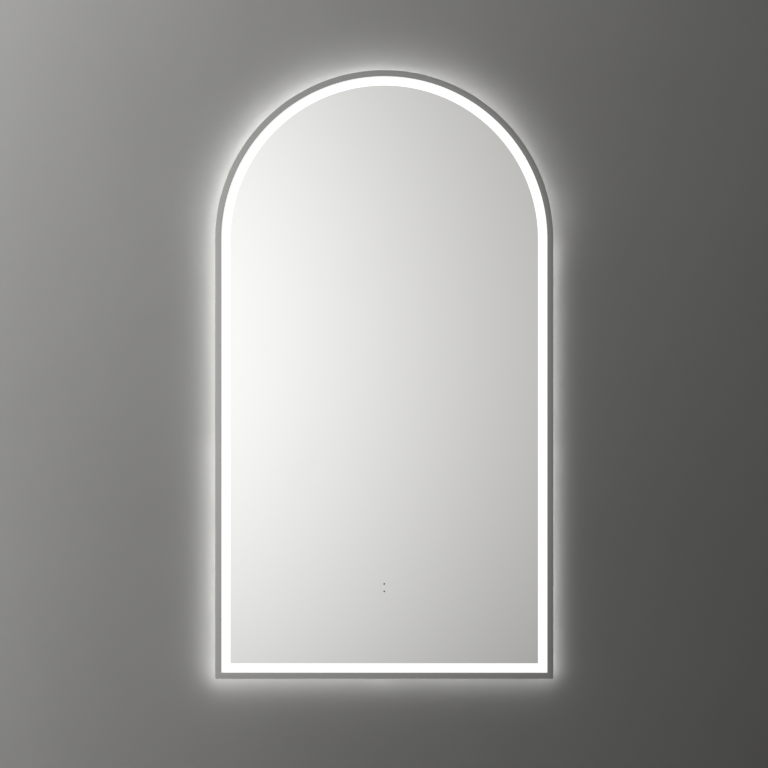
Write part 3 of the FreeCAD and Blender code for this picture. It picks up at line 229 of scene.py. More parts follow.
def shop_dust():
    """Soft patches of dust and handling marks."""
    tree, given, out = effect(
        "shop_dust",
        [("Point", "vector", (0.0, 0.0, 0.0)), ("Size", "value", 18.0), ("Cover", "value", 0.4)],
        [("Mask", "value")],
    )
    cloud = noise(tree, given["Point"], given["Size"], 4.0, 0.62)
    specks = noise(tree, given["Point"], times(tree, given["Size"], 22.0), 2.0, 0.7)
    low = minus(tree, 0.72, times(tree, given["Cover"], 0.5))
    soft = between(tree, cloud, low, 0.8, kind="SMOOTHSTEP")
    put(tree, out["Mask"], times(tree, soft, between(tree, specks, 0.3, 0.7, 0.55, 1.0), clamped=True))
    return tree


def zinc_spangle():
    """Crystals of a hot-dipped zinc coat, each with its own tone and lean."""
    tree, given, out = effect(
        "zinc_spangle",
        [("Point", "vector", (0.0, 0.0, 0.0)), ("Scale", "value", 110.0)],
        [("Shade", "value"), ("Height", "value")],
    )
    bent = node(tree, "TexNoise", {"Vector": given["Point"], "Scale": 60.0, "Detail": 2.0}).outputs["Color"]
    shifted = node(tree, "VectorMath", {0: bent, "Scale": 0.0016}, operation="SCALE").outputs["Vector"]
    moved = node(tree, "VectorMath", {0: given["Point"], 1: shifted}, operation="ADD").outputs["Vector"]
    flat = node(tree, "VectorMath", {0: moved, 1: (1.0, 0.35, 1.0)}, operation="MULTIPLY").outputs["Vector"]
    sockets = {"Vector": flat, "Scale": given["Scale"], "Randomness": 1.0}
    crystal = node(tree, "TexVoronoi", sockets, feature="F1")
    tone = node(tree, "SeparateColor", {0: crystal.outputs["Color"]}).outputs["Red"]
    feather = noise(tree, flat, times(tree, given["Scale"], 6.0), 3.0, 0.65)
    put(tree, out["Shade"], plus(tree, times(tree, tone, 0.7), times(tree, feather, 0.3)))
    put(tree, out["Height"], feather)
    return tree


def moulded_skin():
    """Fine eroded texture of a plastic or rubber moulding."""
    tree, given, out = effect(
        "moulded_skin",
        [("Point", "vector", (0.0, 0.0, 0.0)), ("Scale", "value", 2200.0)],
        [("Height", "value"), ("Shade", "value")],
    )
    sockets = {"Vector": given["Point"], "Scale": given["Scale"]}
    pits = node(tree, "TexVoronoi", sockets, feature="SMOOTH_F1")
    flow = noise(tree, given["Point"], times(tree, given["Scale"], 0.02), 3.0, 0.55)
    put(tree, out["Height"], plus(tree, pits.outputs["Distance"], times(tree, flow, 0.6)))
    put(tree, out["Shade"], flow)
    return tree


ARCH_RUN = round_the_arch()
DRAWN = drawn_lines()
WORN = worn_arris()
DUST = shop_dust()
SPANGLE = zinc_spangle()
SKIN = moulded_skin()

# ------------------------------------------------------------------ finishes


def start(name):
    """A material with an empty tree but for its shader and output."""
    material = bpy.data.materials.new(name)
    material.use_nodes = True
    tree = material.node_tree
    tree.nodes.clear()
    shader = tree.nodes.new("ShaderNodeBsdfPrincipled")
    surface = tree.nodes.new("ShaderNodeOutputMaterial")
    tree.links.new(shader.outputs[0], surface.inputs[0])
    return material, tree, shader.inputs


def relief(tree, height, distance, strength=1.0):
    return node(tree, "Bump", {"Height": height, "Distance": distance, "Strength": strength}).outputs[0]


def anodised_frame():
    """Grey anodised extrusion: matt, with faint die lines and bright rubbed arrises."""
    material, tree, skin = start("anodised_grey")
    point = here(tree)
    run = use(tree, ARCH_RUN, {"Point": point})["Run"]
    lines = use(tree, DRAWN, {"Run": run, "Lines": 5200.0, "Length": 26.0})
    worn = use(tree, WORN, {"Point": point, "Width": 0.0005, "Patches": 210.0})["Mask"]
    dust = use(tree, DUST, {"Point": point, "Size": 9.0, "Cover": 0.5})["Mask"]
    tone = between(tree, lines["Shade"], 0.3, 0.7)
    shade = blend_colour(tree, tone, (0.32, 0.32, 0.316, 1), (0.367, 0.367, 0.361, 1))
    shade = blend_colour(tree, times(tree, worn, 0.45), shade, (0.62, 0.62, 0.61, 1))
    put(tree, skin["Base Color"], blend_colour(tree, times(tree, dust, 0.12), shade, (0.5, 0.49, 0.47, 1)))
    rough = plus(tree, between(tree, lines["Shade"], 0.3, 0.7, 0.11, 0.17), times(tree, dust, 0.1))
    put(tree, skin["Roughness"], rough)
    put(tree, skin["Normal"], relief(tree, lines["Height"], 0.000012, 0.5))
    skin["Metallic"].default_value = 1.0
    return material


def silvered():
    """Silver behind clear glass, with a few faint smears that show only at a slant."""
    material, tree, skin = start("silvered_glass")
    point = here(tree)
    smear = use(tree, DUST, {"Point": point, "Size": 5.0, "Cover": 0.35})["Mask"]
    put(tree, skin["Base Color"], blend_colour(tree, smear, (0.93, 0.93, 0.928, 1), (0.9, 0.9, 0.898, 1)))
    put(tree, skin["Roughness"], between(tree, smear, 0.0, 1.0, 0.012, 0.05))
    skin["Metallic"].default_value = 1.0
    skin["Coat Weight"].default_value = 0.35
    skin["Coat Roughness"].default_value = 0.01
    skin["Coat IOR"].default_value = 1.52
    return material


CHIP_PITCH = 33.3
RING_MIDDLE = 14.0


def chip_swell(tree, along, low, high):
    """The strip's light along its run, which swells over each chip."""
    wave = calc(tree, "COSINE", times(tree, along, 2 * math.pi / (CHIP_PITCH * MM)))
    return between(tree, wave, -1.0, 1.0, low, high)


def frosted():
    """Etched border with the strip's light behind it, a little stronger over each chip."""
    material, tree, skin = start("frosted_glass")
    point = here(tree)
    arch = use(tree, ARCH_RUN, {"Point": point})
    etch = noise(tree, point, 2600.0, 2.0, 0.6)
    glow = plus(tree, chip_swell(tree, arch["Along"], 0.96, 1.0), times(tree, etch, 0.04))
    put(tree, skin["Base Color"], blend_colour(tree, etch, (0.66, 0.67, 0.67, 1), (0.73, 0.74, 0.74, 1)))
    put(tree, skin["Emission Color"], blend_colour(tree, glow, (0.86, 0.87, 0.85, 1), (0.985, 0.99, 0.98, 1)))
    put(tree, skin["Roughness"], between(tree, etch, 0.3, 0.7, 0.42, 0.56))
    put(tree, skin["Normal"], relief(tree, etch, 0.00002, 0.3))
    skin["Emission Strength"].default_value = 0.55
    return material


def opal():
    """Opal acrylic lit from inside by the chips of the strip."""
    material, tree, skin = start("opal_acrylic")
    point = here(tree)
    arch = use(tree, ARCH_RUN, {"Point": point})
    grain = noise(tree, point, 900.0, 3.0, 0.6)
    off_middle = calc(tree, "ABSOLUTE", minus(tree, arch["Inset"], RING_MIDDLE * MM))
    band = between(tree, off_middle, 2.0 * MM, 13.0 * MM, 1.0, 0.55, kind="SMOOTHSTEP")
    glow = times(tree, band, chip_swell(tree, arch["Along"], 0.6, 1.0), clamped=True)
    put(tree, skin["Base Color"], blend_colour(tree, grain, (0.7, 0.71, 0.7, 1), (0.77, 0.78, 0.77, 1)))
    put(tree, skin["Emission Color"], blend_colour(tree, glow, (0.2, 0.205, 0.2, 1), (1.0, 1.0, 0.985, 1)))
    put(tree, skin["Roughness"], between(tree, grain, 0.3, 0.7, 0.3, 0.42))
    skin["Emission Strength"].default_value = 0.3
    return material


def sheet_metal(name, dark, pale, scale, roughness):
    """Hot-dipped sheet steel, folded and pressed after it was coated."""
    material, tree, skin = start(name)
    point = here(tree)
    crystals = use(tree, SPANGLE, {"Point": point, "Scale": scale})
    dust = use(tree, DUST, {"Point": point, "Size": 14.0, "Cover": 0.5})["Mask"]
    worn = use(tree, WORN, {"Point": point, "Width": 0.0005, "Patches": 120.0})["Mask"]
    tone = between(tree, crystals["Shade"], 0.2, 0.8)
    shade = blend_colour(tree, tone, (*dark, 1), (*pale, 1))
    shade = blend_colour(tree, times(tree, worn, 0.4), shade, (0.78, 0.78, 0.77, 1))
    put(tree, skin["Base Color"], blend_colour(tree, times(tree, dust, 0.3), shade, (0.42, 0.41, 0.39, 1)))
    rough = between(tree, crystals["Shade"], 0.2, 0.8, roughness - 0.05, roughness + 0.05)
    put(tree, skin["Roughness"], plus(tree, rough, times(tree, dust, 0.15)))
    put(tree, skin["Normal"], relief(tree, crystals["Height"], 0.00002, 0.5))
    skin["Metallic"].default_value = 1.0
    return material


def bright_metal(name, dark, pale, roughness, lines):
    """Small turned, cast or plated metal pieces."""
    material, tree, skin = start(name)
    point = here(tree)
    drawn = use(tree, DRAWN, {"Run": point, "Lines": lines, "Length": lines * 0.2})
    dust = use(tree, DUST, {"Point": point, "Size": 60.0, "Cover": 0.6})["Mask"]
    worn = use(tree, WORN, {"Point": point, "Width": 0.0003, "Patches": 400.0})["Mask"]
    shade = blend_colour(tree, drawn["Shade"], (*dark, 1), (*pale, 1))
    shade = blend_colour(tree, times(tree, worn, 0.5), shade, (0.85, 0.84, 0.82, 1))
    put(tree, skin["Base Color"], blend_colour(tree, times(tree, dust, 0.35), shade, (*dark, 1)))
    put(tree, skin["Roughness"], between(tree, drawn["Shade"], 0.2, 0.8, roughness - 0.07, roughness + 0.1))
    put(tree, skin["Normal"], relief(tree, drawn["Height"], 0.00001, 0.5))
    skin["Metallic"].default_value = 1.0
    return material


def moulding(name, dark, pale, roughness, grain=2200.0, depth=0.00002):
    """Moulded plastic, rubber, foam or film."""
    material, tree, skin = start(name)
    point = here(tree)
    surface = use(tree, SKIN, {"Point": point, "Scale": grain})
    dust = use(tree, DUST, {"Point": point, "Size": 30.0, "Cover": 0.5})["Mask"]
    worn = use(tree, WORN, {"Point": point, "Width": 0.0004, "Patches": 240.0})["Mask"]
    shade = blend_colour(tree, between(tree, surface["Shade"], 0.3, 0.7), (*dark, 1), (*pale, 1))
    lifted = tuple(min(1.0, part * 1.35 + 0.03) for part in pale)
    shade = blend_colour(tree, times(tree, worn, 0.35), shade, (*lifted, 1))
    put(tree, skin["Base Color"], blend_colour(tree, times(tree, dust, 0.18), shade, (0.45, 0.44, 0.42, 1)))
    rough = between(tree, surface["Shade"], 0.3, 0.7, roughness - 0.05, roughness + 0.05)
    put(tree, skin["Roughness"], plus(tree, rough, times(tree, dust, 0.15)))
    put(tree, skin["Normal"], relief(tree, surface["Height"], depth, 0.6))
    return material


def heating_film():
    """Amber film with the printed track that warms the glass, looped from side to side."""
    material, tree, skin = start("demister_film")
    point = here(tree)
    split = node(tree, "SeparateXYZ", {0: point}).outputs
    cloud = noise(tree, point, 22.0, 3.0, 0.55)
    wander = times(tree, minus(tree, cloud, 0.5), 0.0006)
    half_pitch = 4.5 * MM
    half_track = 1.0 * MM
    half_width = 93.0 * MM
    rows = calc(tree, "PINGPONG", plus(tree, split["Z"], wander), half_pitch)
    track = between(tree, rows, half_track, half_track + 0.4 * MM, 1.0, 0.0)
    off_middle = calc(tree, "ABSOLUTE", split["X"])
    margin = between(tree, off_middle, half_width, half_width + 0.6 * MM, 1.0, 0.0)
    track = times(tree, track, margin)
    film = blend_colour(tree, cloud, (0.74, 0.48, 0.24, 1), (0.86, 0.6, 0.34, 1))
    put(tree, skin["Base Color"], blend_colour(tree, track, film, (0.36, 0.31, 0.27, 1)))
    put(tree, skin["Roughness"], between(tree, track, 0.0, 1.0, 0.3, 0.48))
    put(tree, skin["Normal"], relief(tree, track, 0.00003, 0.6))
    return material


FINISHES = {
    "frame_grey": anodised_frame(),
    "silvered_glass": silvered(),
    "frosted_glass": frosted(),
    "opal_acrylic": opal(),
    "demister_film": heating_film(),
}
# Recipe, finish, darkest and palest tone, and then the recipe's own values.
RECIPES = (
    (sheet_metal, "galvanised_steel", (0.5, 0.515, 0.52), (0.6, 0.61, 0.615), 190.0, 0.36),
    (bright_metal, "rail_steel", (0.6, 0.6, 0.585), (0.7, 0.7, 0.68), 0.3, 1500.0),
    (bright_metal, "zinc_casting", (0.48, 0.485, 0.49), (0.58, 0.585, 0.59), 0.42, 900.0),
    (bright_metal, "zinc_screw", (0.54, 0.535, 0.51), (0.68, 0.675, 0.64), 0.22, 2400.0),
    (bright_metal, "rivet_aluminium", (0.7, 0.7, 0.705), (0.8, 0.8, 0.805), 0.3, 1800.0),
    (bright_metal, "contact_brass", (0.72, 0.56, 0.28), (0.84, 0.69, 0.4), 0.26, 1600.0),
    (moulding, "white_steel", (0.78, 0.78, 0.76), (0.84, 0.84, 0.82), 0.38, 1500.0, 0.00001),
    (moulding, "gasket_rubber", (0.035, 0.035, 0.037), (0.06, 0.06, 0.062), 0.62),
    (moulding, "foot_rubber", (0.05, 0.05, 0.051), (0.085, 0.085, 0.086), 0.66, 1700.0, 0.00003),
    (moulding, "backing_film", (0.52, 0.57, 0.59), (0.58, 0.63, 0.65), 0.45, 700.0),
    (moulding, "foam_tape", (0.7, 0.7, 0.69), (0.78, 0.78, 0.77), 0.85, 1300.0, 0.00008),
    (moulding, "strip_white", (0.8, 0.8, 0.77), (0.87, 0.87, 0.84), 0.4),
    (moulding, "chip_yellow", (0.84, 0.73, 0.28), (0.92, 0.83, 0.38), 0.22, 1800.0, 0.000004),
    (moulding, "boot_plastic", (0.08, 0.08, 0.082), (0.12, 0.12, 0.122), 0.48),
    (moulding, "case_plastic", (0.81, 0.81, 0.79), (0.86, 0.86, 0.84), 0.42),
    (moulding, "board_green", (0.035, 0.24, 0.11), (0.055, 0.33, 0.155), 0.3, 900.0, 0.00001),
    (moulding, "block_plastic", (0.84, 0.82, 0.74), (0.89, 0.87, 0.79), 0.44),
    (moulding, "lead_white", (0.78, 0.78, 0.76), (0.84, 0.84, 0.82), 0.42, 1600.0, 0.00001),
    (moulding, "mark_black", (0.07, 0.072, 0.075), (0.1, 0.102, 0.105), 0.3),
)
for recipe, finish, *values in RECIPES:
    FINISHES[finish] = recipe(finish, *values)

# ------------------------------------------------------------------ drawing helpers


def eased(corners, steps=4):
    """A closed outline of (across, along, radius) with each corner rounded by its radius."""
    points = []
    for k, (a, b, radius) in enumerate(corners):
        corner = Vector((a, b))
        if radius <= 0.0:
            points.append(corner)
            continue
        back = (Vector(corners[k - 1][:2]) - corner).normalized()
        on = (Vector(corners[(k + 1) % len(corners)][:2]) - corner).normalized()
        half = back.angle(on) / 2
        centre = corner + (back + on).normalized() * (radius / math.sin(half))
        start_at = corner + back * (radius / math.tan(half)) - centre
        end_at = corner + on * (radius / math.tan(half)) - centre
        sweep = start_at.angle(end_at)
        for step in range(steps + 1):
            t = step / steps
            arm = (start_at * math.sin((1 - t) * sweep) + end_at * math.sin(t * sweep)) / math.sin(sweep)
            points.append(centre + arm)
    return points


def disc(x, z, radius, steps=32):
    turns = [2 * math.pi * k / steps for k in range(steps)]
    return [(x + radius * math.cos(turn), z + radius * math.sin(turn)) for turn in turns]


def panel(x, z, width, height, radius, steps=6):
    """A rectangle about a point, with rounded corners."""
    half_x, half_z = width / 2, height / 2
    signs = ((-1, -1), (1, -1), (1, 1), (-1, 1))
    corners = [(x + sx * half_x, z + sz * half_z, radius) for sx, sz in signs]
    return [tuple(point) for point in eased(corners, steps)]


ARCH_STEPS = 128
SIDE_STEPS = 10
CORNER_STEPS = 6


def over_the_arch(reach, steps):
    """Points of the half round, from left to right."""
    turns = [math.pi * (1 - k / steps) for k in range(steps + 1)]
    return [(reach * math.cos(turn), ARCH_Z + reach * math.sin(turn)) for turn in turns]


def arch_loop(inset, corner=0.01):
    """The mirror's outline moved in by an inset, with rounded lower corners."""
    reach, low = RADIUS - inset, FOOT_Z + inset
    rise = ARCH_Z - low - corner
    loop = [(-reach, low + corner + rise * k / SIDE_STEPS) for k in range(SIDE_STEPS)]
    loop += over_the_arch(reach, ARCH_STEPS)
    loop += [(reach, ARCH_Z - rise * k / SIDE_STEPS) for k in range(1, SIDE_STEPS)]
    for side, begin in ((1, 0.0), (-1, -math.pi / 2)):
        x, z = side * (reach - corner), low + corner
        turns = [begin - math.pi / 2 * k / CORNER_STEPS for k in range(CORNER_STEPS + 1)]
        loop += [(x + corner * math.cos(turn), z + corner * math.sin(turn)) for turn in turns]
    return loop[:-1]


def loft(bm, rings, along=False, caps=(True, True)):
    """Joins closed rings of points in turn: along joins the last to the first, caps fill the ends."""
    rows = [[bm.verts.new(point) for point in ring] for ring in rings]
    pairs = list(zip(rows, rows[1:]))
    if along:
        pairs.append((rows[-1], rows[0]))
    for one, two in pairs:
        for k in range(len(one)):
            n = (k + 1) % len(one)
            bm.faces.new((one[k], one[n], two[n], two[k]))
    if caps[0] and not along:
        bm.faces.new(rows[0])
    if caps[1] and not along:
        bm.faces.new(list(reversed(rows[-1])))


def turned(bm, x, z, profile, steps=48, closed=False):
    """Turns a profile of (radius, y) about a line along Y."""
    rings = []
    for radius, y in profile:
        rings.append([Vector((a, y, b)) for a, b in disc(x, z, radius, steps)])
    loft(bm, rings, along=closed)


def sheet(bm, loops, front, back, pressings=()):
    """A flat sheet between two depths: its edge, then its holes; pressings are left open for a rib."""
    flat = [[Vector((x, z, 0.0)) for x, z in loop] for loop in (*loops, *pressings)]
    near = [bm.verts.new((p.x, front, p.y)) for loop in flat for p in loop]
    far = [bm.verts.new((p.x, back, p.y)) for loop in flat for p in loop]
    for a, b, c in tessellate_polygon(flat):
        bm.faces.new((near[a], near[b], near[c]))
        bm.faces.new((far[c], far[b], far[a]))
    first = 0
    for loop in flat[:len(loops)]:
        for k in range(len(loop)):
            a, b = first + k, first + (k + 1) % len(loop)
            bm.faces.new((near[a], near[b], far[b], far[a]))
        first += len(loop)


def pressed(bm, steps, outline, caps=(True, True)):
    """A pressing: the outline at each (inset, y) in turn, filled at the ends that caps names."""
    loft(bm, [[Vector((x, y, z)) for x, z in outline(inset)] for inset, y in steps], caps=caps)


def bar(bm, section, left, right):
    """A section of (y, z) run from left to right."""
    loft(bm, [[Vector((x, y, z)) for y, z in section] for x in (left, right)])


HEAD_RADIUS = 3.0
HEAD_HEIGHT = 1.9
THREAD_PITCH = 0.7


def pan_screw(bm, x, z, seat, tip):
    """Pan head with a tapered cross recess, on a threaded shank."""
    radius, height = HEAD_RADIUS, HEAD_HEIGHT
    wing, arm = 0.14 * radius, 0.56 * radius
    first = math.degrees(math.atan2(wing, arm))
    quarter = (0.0, first, (first + 45) / 2, 45.0, 90 - (first + 45) / 2, 90 - first)
    angles = [math.radians(base + turn) for base in (0, 90, 180, 270) for turn in quarter]

    def round_ring(reach, y):
        return [Vector((x + reach * math.cos(t), y, z + reach * math.sin(t))) for t in angles]

    def cross_ring(share, y):
        ring = []
        for t in angles:
            c, s = max(abs(math.cos(t)), 1e-6), max(abs(math.sin(t)), 1e-6)
            reach = share * max(min(arm / c, wing / s), min(wing / c, arm / s))
            ring.append(Vector((x + reach * math.cos(t), y, z + reach * math.sin(t))))
        return ring

    core, crest = 0.42 * radius, 0.5 * radius
    rings = [round_ring(core * 0.5, tip), round_ring(core, tip + 0.5)]
    turns = max(2, int((seat - tip) / THREAD_PITCH) - 1)
    for k in range(turns):
        y = tip + THREAD_PITCH * (k + 1)
        rings += [round_ring(crest, y), round_ring(core, y + THREAD_PITCH / 2)]
    rings += [round_ring(core, seat), round_ring(0.96 * radius, seat)]
    dome = ((1.0, 0.12), (1.0, 0.42), (0.95, 0.68), (0.84, 0.87), (0.7, 0.97), (0.6, 1.0))
    rings += [round_ring(reach * radius, seat + level * height) for reach, level in dome]
    rings += [cross_ring(1.0, seat + height), cross_ring(0.72, seat + 0.38 * height)]
    loft(bm, rings)


SHARP_FROM = 34.0


def mesh_of(name, bm):
    """Welds a drawing, turns its faces outward and makes a mesh of it."""
    bmesh.ops.remove_doubles(bm, verts=bm.verts, dist=1e-4)
    bmesh.ops.recalc_face_normals(bm, faces=bm.faces)
    mesh = bpy.data.meshes.new(name)
    bm.to_mesh(mesh)
    bm.free()
    return mesh


def make(name, bm, body, finish, replaced):
    """Turns a drawing into a piece that rides on a body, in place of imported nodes."""
    mesh = mesh_of(name, bm)
    mesh.transform(Matrix.Scale(MM, 4))
    mesh.shade_smooth()
    mesh.set_sharp_from_angle(angle=math.radians(SHARP_FROM))
    mesh.materials.append(FINISHES[finish])
    piece = bpy.data.objects.new(name, mesh)
    bpy.context.scene.collection.objects.link(piece)
    true_faces = piece.modifiers.new("true_faces", "WEIGHTED_NORMAL")
    true_faces.keep_sharp = True
    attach(piece, body)
    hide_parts(*replaced)
    return piece


def bored(bm, cutter):
    """The drawing with another drawing's solids cut out of it."""
    pair = []
    for drawing in (bm, cutter):
        blank = bpy.data.objects.new("blank", mesh_of("blank", drawing))
        bpy.context.scene.collection.objects.link(blank)
        pair.append(blank)
    cut = pair[0].modifiers.new("cut", "BOOLEAN")
    cut.object = pair[1]
    cut.solver = "EXACT"
    bpy.context.view_layer.update()
    graph = bpy.context.evaluated_depsgraph_get()
    done = bmesh.new()
    done.from_mesh(pair[0].evaluated_get(graph).data)
    for blank in pair:
        bpy.data.objects.remove(blank)
    return done


# ------------------------------------------------------------------ frame

# The extrusion's section, as (inset from the outer edge, depth from the front, radius).
FRAME_SECTION = (
    (1.6, 1.8, 0.0), (1.6, 8.0, 0.0), (6.5, 8.0, 0.25), (6.5, 11.4, 0.25), (5.3, 11.4, 0.2),
    (5.3, 9.4, 0.0), (1.6, 9.4, 0.0), (1.6, 25.0, 0.0), (5.3, 25.0, 0.0), (5.3, 23.0, 0.2),
    (6.5, 23.0, 0.25), (6.5, 26.2, 0.25), (1.6, 26.2, 0.0), (1.6, 28.6, 0.0), (5.5, 28.6, 0.25),
    (5.5, 30.0, 0.3), (0.0, 30.0, 0.55), (0.0, 0.0, 0.6), (9.0, 0.0, 0.35), (9.0, 1.8, 0.3),
)
FRAME_STEPS = 144
MITRE_GAP = 0.1


def frame_pieces():
    section = eased(FRAME_SECTION, 3)
    bm = bmesh.new()
    stations = []
    for inset, depth in section:
        reach, low = RADIUS - inset, FOOT_Z + inset + MITRE_GAP
        run = [(-reach, low), *over_the_arch(reach, FRAME_STEPS), (reach, low)]
        stations.append([Vector((x, FRONT_Y + depth, z)) for x, z in run])
    loft(bm, [list(ring) for ring in zip(*stations)])
    make("frame_arch_extrusion", bm, "mirror", "frame_grey", ["frame_arch"])
    bm = bmesh.new()
    ends = [[], []]
    for inset, depth in section:
        for end, side in zip(ends, (-1, 1)):
            x = side * (RADIUS - inset - MITRE_GAP)
            end.append(Vector((x, FRONT_Y + depth, FOOT_Z + inset)))
    loft(bm, ends)
    make("frame_sill_extrusion", bm, "mirror", "frame_grey", ["frame_sill"])


# ------------------------------------------------------------------ glass

BORDER = 22.5
MARK_LEVELS = (-500.0, -511.0)
MARK_RADIUS = 1.3
RING_WIDTH = 23.8


def glass_pieces():
    low, high = place("mirror_glass")
    inset = RADIUS - high.x
    marks = [disc(0.0, z, MARK_RADIUS, 28) for z in MARK_LEVELS]
    bm = bmesh.new()
    sheet(bm, [arch_loop(BORDER), *marks], low.y, high.y)
    make("silvered_pane", bm, "mirror", "silvered_glass", ["mirror_glass"])
    bm = bmesh.new()
    corners = ((inset, low.y, 0.4), (BORDER, low.y, 0.0), (BORDER, high.y, 0.0), (inset, high.y, 0.4))
    profile = eased(corners, 3)
    loft(bm, [[Vector((x, y, z)) for x, z in arch_loop(step)] for step, y in profile], along=True)
    make("frosted_border", bm, "mirror", "frosted_glass", ["mirror_glass"])
    bm = bmesh.new()
    for mark in marks:
        sheet(bm, [mark], low.y + 0.02, high.y)
    make("touch_marks", bm, "mirror", "mark_black", ["mirror_glass"])


def rear_ring():
    low, high = place("rear_diffuser")
    outer = RADIUS - high.x
    inner = outer + RING_WIDTH
    corners = ((outer, low.y, 0.5), (inner, low.y, 0.5), (inner, high.y, 0.5), (outer, high.y, 0.5))
    rings = []
    for inset, y in eased(corners, 3):
        corner = max(0.01, inset - outer) * 0.4 + 0.01
        rings.append([Vector((x, y, z)) for x, z in arch_loop(inset, corner)])
    bm = bmesh.new()
    loft(bm, rings, along=True)
    make("opal_ring", bm, "mirror", "opal_acrylic", ["rear_diffuser"])


# ------------------------------------------------------------------ back plate

PLATE_INSET = 26.0
PLATE_FRONT = -10.0
PLATE_BACK = -9.0
VENTS_ACROSS = (-54.0, -18.0, 18.0, 54.0)
VENT_LEVELS = (125.0, 115.0, -405.0, -415.0)
# Length, height and corner of a vent.
VENT = (26.0, 3.0, 1.45)
RIB_LEVELS = (-170.0, -320.0, -470.0)
RIB_LENGTH = 320.0
RIB_WIDTH = 12.0
RIB_CORNER = 5.9
# A rib's soft shoulder on each face of the sheet, as (inset, depth).
RIB_BEHIND = ((0.0, PLATE_BACK), (0.5, -8.9), (1.9, -7.75), (2.5, -7.48), (3.3, -7.4))
RIB_BEFORE = ((0.0, PLATE_FRONT), (1.0, -9.8), (2.6, -8.55), (3.6, -8.4))
# Middle, width and height of the window behind the terminals.
WINDOW = (72.0, -98.0, 84.0, 46.0)
WINDOW_CORNER = 3.0
COVER_LAP = 9.0
ENTRY = (-24.0, -98.0)
ENTRY_RADIUS = 7.0
FEET = (-150.0, 150.0)
FOOT_LEVEL = -556.0
# The plate's screws stand on a line inside its edge: five round the arch, the rest below.
SCREW_LINE = 215.5
SCREW_ARCH_Z = 10.0
SCREW_TURNS = (18, 54, 90, 126, 162)
SCREW_LEVELS = (-143.9, -451.6)
SCREW_FOOT_Z = -605.5


def back_plate():
    vents = [panel(x, z, *VENT) for x in VENTS_ACROSS for z in VENT_LEVELS]
    ribs = [panel(0.0, z, RIB_LENGTH, RIB_WIDTH, RIB_CORNER, 10) for z in RIB_LEVELS]
    holes = [panel(*WINDOW, WINDOW_CORNER), disc(*ENTRY, ENTRY_RADIUS), *vents]
    bm = bmesh.new()
    sheet(bm, [arch_loop(PLATE_INSET, 10.0), *holes], PLATE_FRONT, PLATE_BACK, ribs)
    for z in RIB_LEVELS:
        def rib(inset, level=z):
            length, width = RIB_LENGTH - 2 * inset, RIB_WIDTH - 2 * inset
            return panel(0.0, level, length, width, RIB_CORNER - inset, 10)

        pressed(bm, RIB_BEHIND, rib, (False, True))
        pressed(bm, RIB_BEFORE, rib, (False, True))
    make("pressed_back_plate", bm, "mirror", "galvanised_steel", ["back_plate"])


def plate_screws():
    turns = [math.radians(degrees) for degrees in SCREW_TURNS]
    places = [(SCREW_LINE * math.cos(t), SCREW_ARCH_Z + SCREW_LINE * math.sin(t)) for t in turns]
    places += [(side * SCREW_LINE, z) for side in (-1, 1) for z in SCREW_LEVELS]
    places += [(side * SCREW_LINE / 2, SCREW_FOOT_Z) for side in (-1, 1)]
    bm = bmesh.new()
    for x, z in places:
        pan_screw(bm, x, z, PLATE_BACK, -18.0)
    make("plate_pan_screws", bm, "mirror", "zinc_screw", ["back_plate_screws"])
    # Piece, replaced node, places, and the depths of the head's seat and the tip.
    sets = {
        "bracket_pan_screws": ("bracket_screws", [(15.7, -98.0), (128.3, -98.0)], PLATE_BACK, -13.8),
        "driver_pan_screws": ("driver_screws", [(-80.5, -222.0), (80.5, -222.0)], PLATE_BACK, -13.0),
        "cover_pan_screws": ("terminal_cover_screws", [(72.0, -70.5), (72.0, -125.5)], -7.8, -13.8),
        "foot_pan_screws": ("bumper_screws", [(x, FOOT_LEVEL) for x in FEET], -4.0, -13.8),
    }
    for name, (replaced, spots, seat, tip) in sets.items():
        bm = bmesh.new()
        for x, z in spots:
            pan_screw(bm, x, z, seat, tip)
        make(name, bm, "mirror", "zinc_screw", [replaced])


def terminal_cover():
    x, z, width, height = WINDOW

    def pan(inset):
        grown = 2 * COVER_LAP - 2 * inset
        return panel(x, z, width + grown, height + grown, max(2.5, 5.0 - 0.25 * inset))

    steps = ((11.2, -4.5), (10.2, -4.9), (10.2, -9.0), (0.0, -9.0), (0.0, -7.95), (0.15, -7.8),
             (7.9, -7.8), (8.6, -7.6), (9.0, -7.0), (9.0, -4.6), (9.4, -3.8), (10.1, -3.42),
             (11.4, -3.3))
    bm = bmesh.new()
    pressed(bm, steps, pan)
    make("pressed_terminal_cover", bm, "mirror", "galvanised_steel", ["terminal_cover"])


def rubber_pieces():
    bm = bmesh.new()
    profile = ((11.7, -9.0), (12.0, -8.7), (11.85, -5.3), (11.3, -5.1), (11.3, -4.5), (11.75, -4.3),
               (11.5, -1.0), (11.1, -0.35), (10.3, 0.0), (6.2, 0.0), (5.3, -0.35), (4.6, -0.9),
               (4.4, -4.0))
    for x in FEET:
        turned(bm, x, FOOT_LEVEL, profile)
    make("rubber_feet", bm, "mirror", "foot_rubber", ["wall_bumpers"])
    bm = bmesh.new()
    profile = ((4.0, -12.7), (4.3, -13.0), (8.5, -13.0), (9.3, -12.4), (9.5, -10.9), (9.3, -10.1),
               (7.0, -10.05), (7.0, -8.95), (9.35, -8.95), (9.5, -8.5), (9.3, -7.4), (8.2, -6.4),
               (6.8, -6.0), (4.5, -6.0), (4.0, -6.4))
    turned(bm, *ENTRY, profile, closed=True)
    make("rubber_grommet", bm, "mirror", "foot_rubber", ["cable_grommet"])


# ------------------------------------------------------------------ rail and hanger

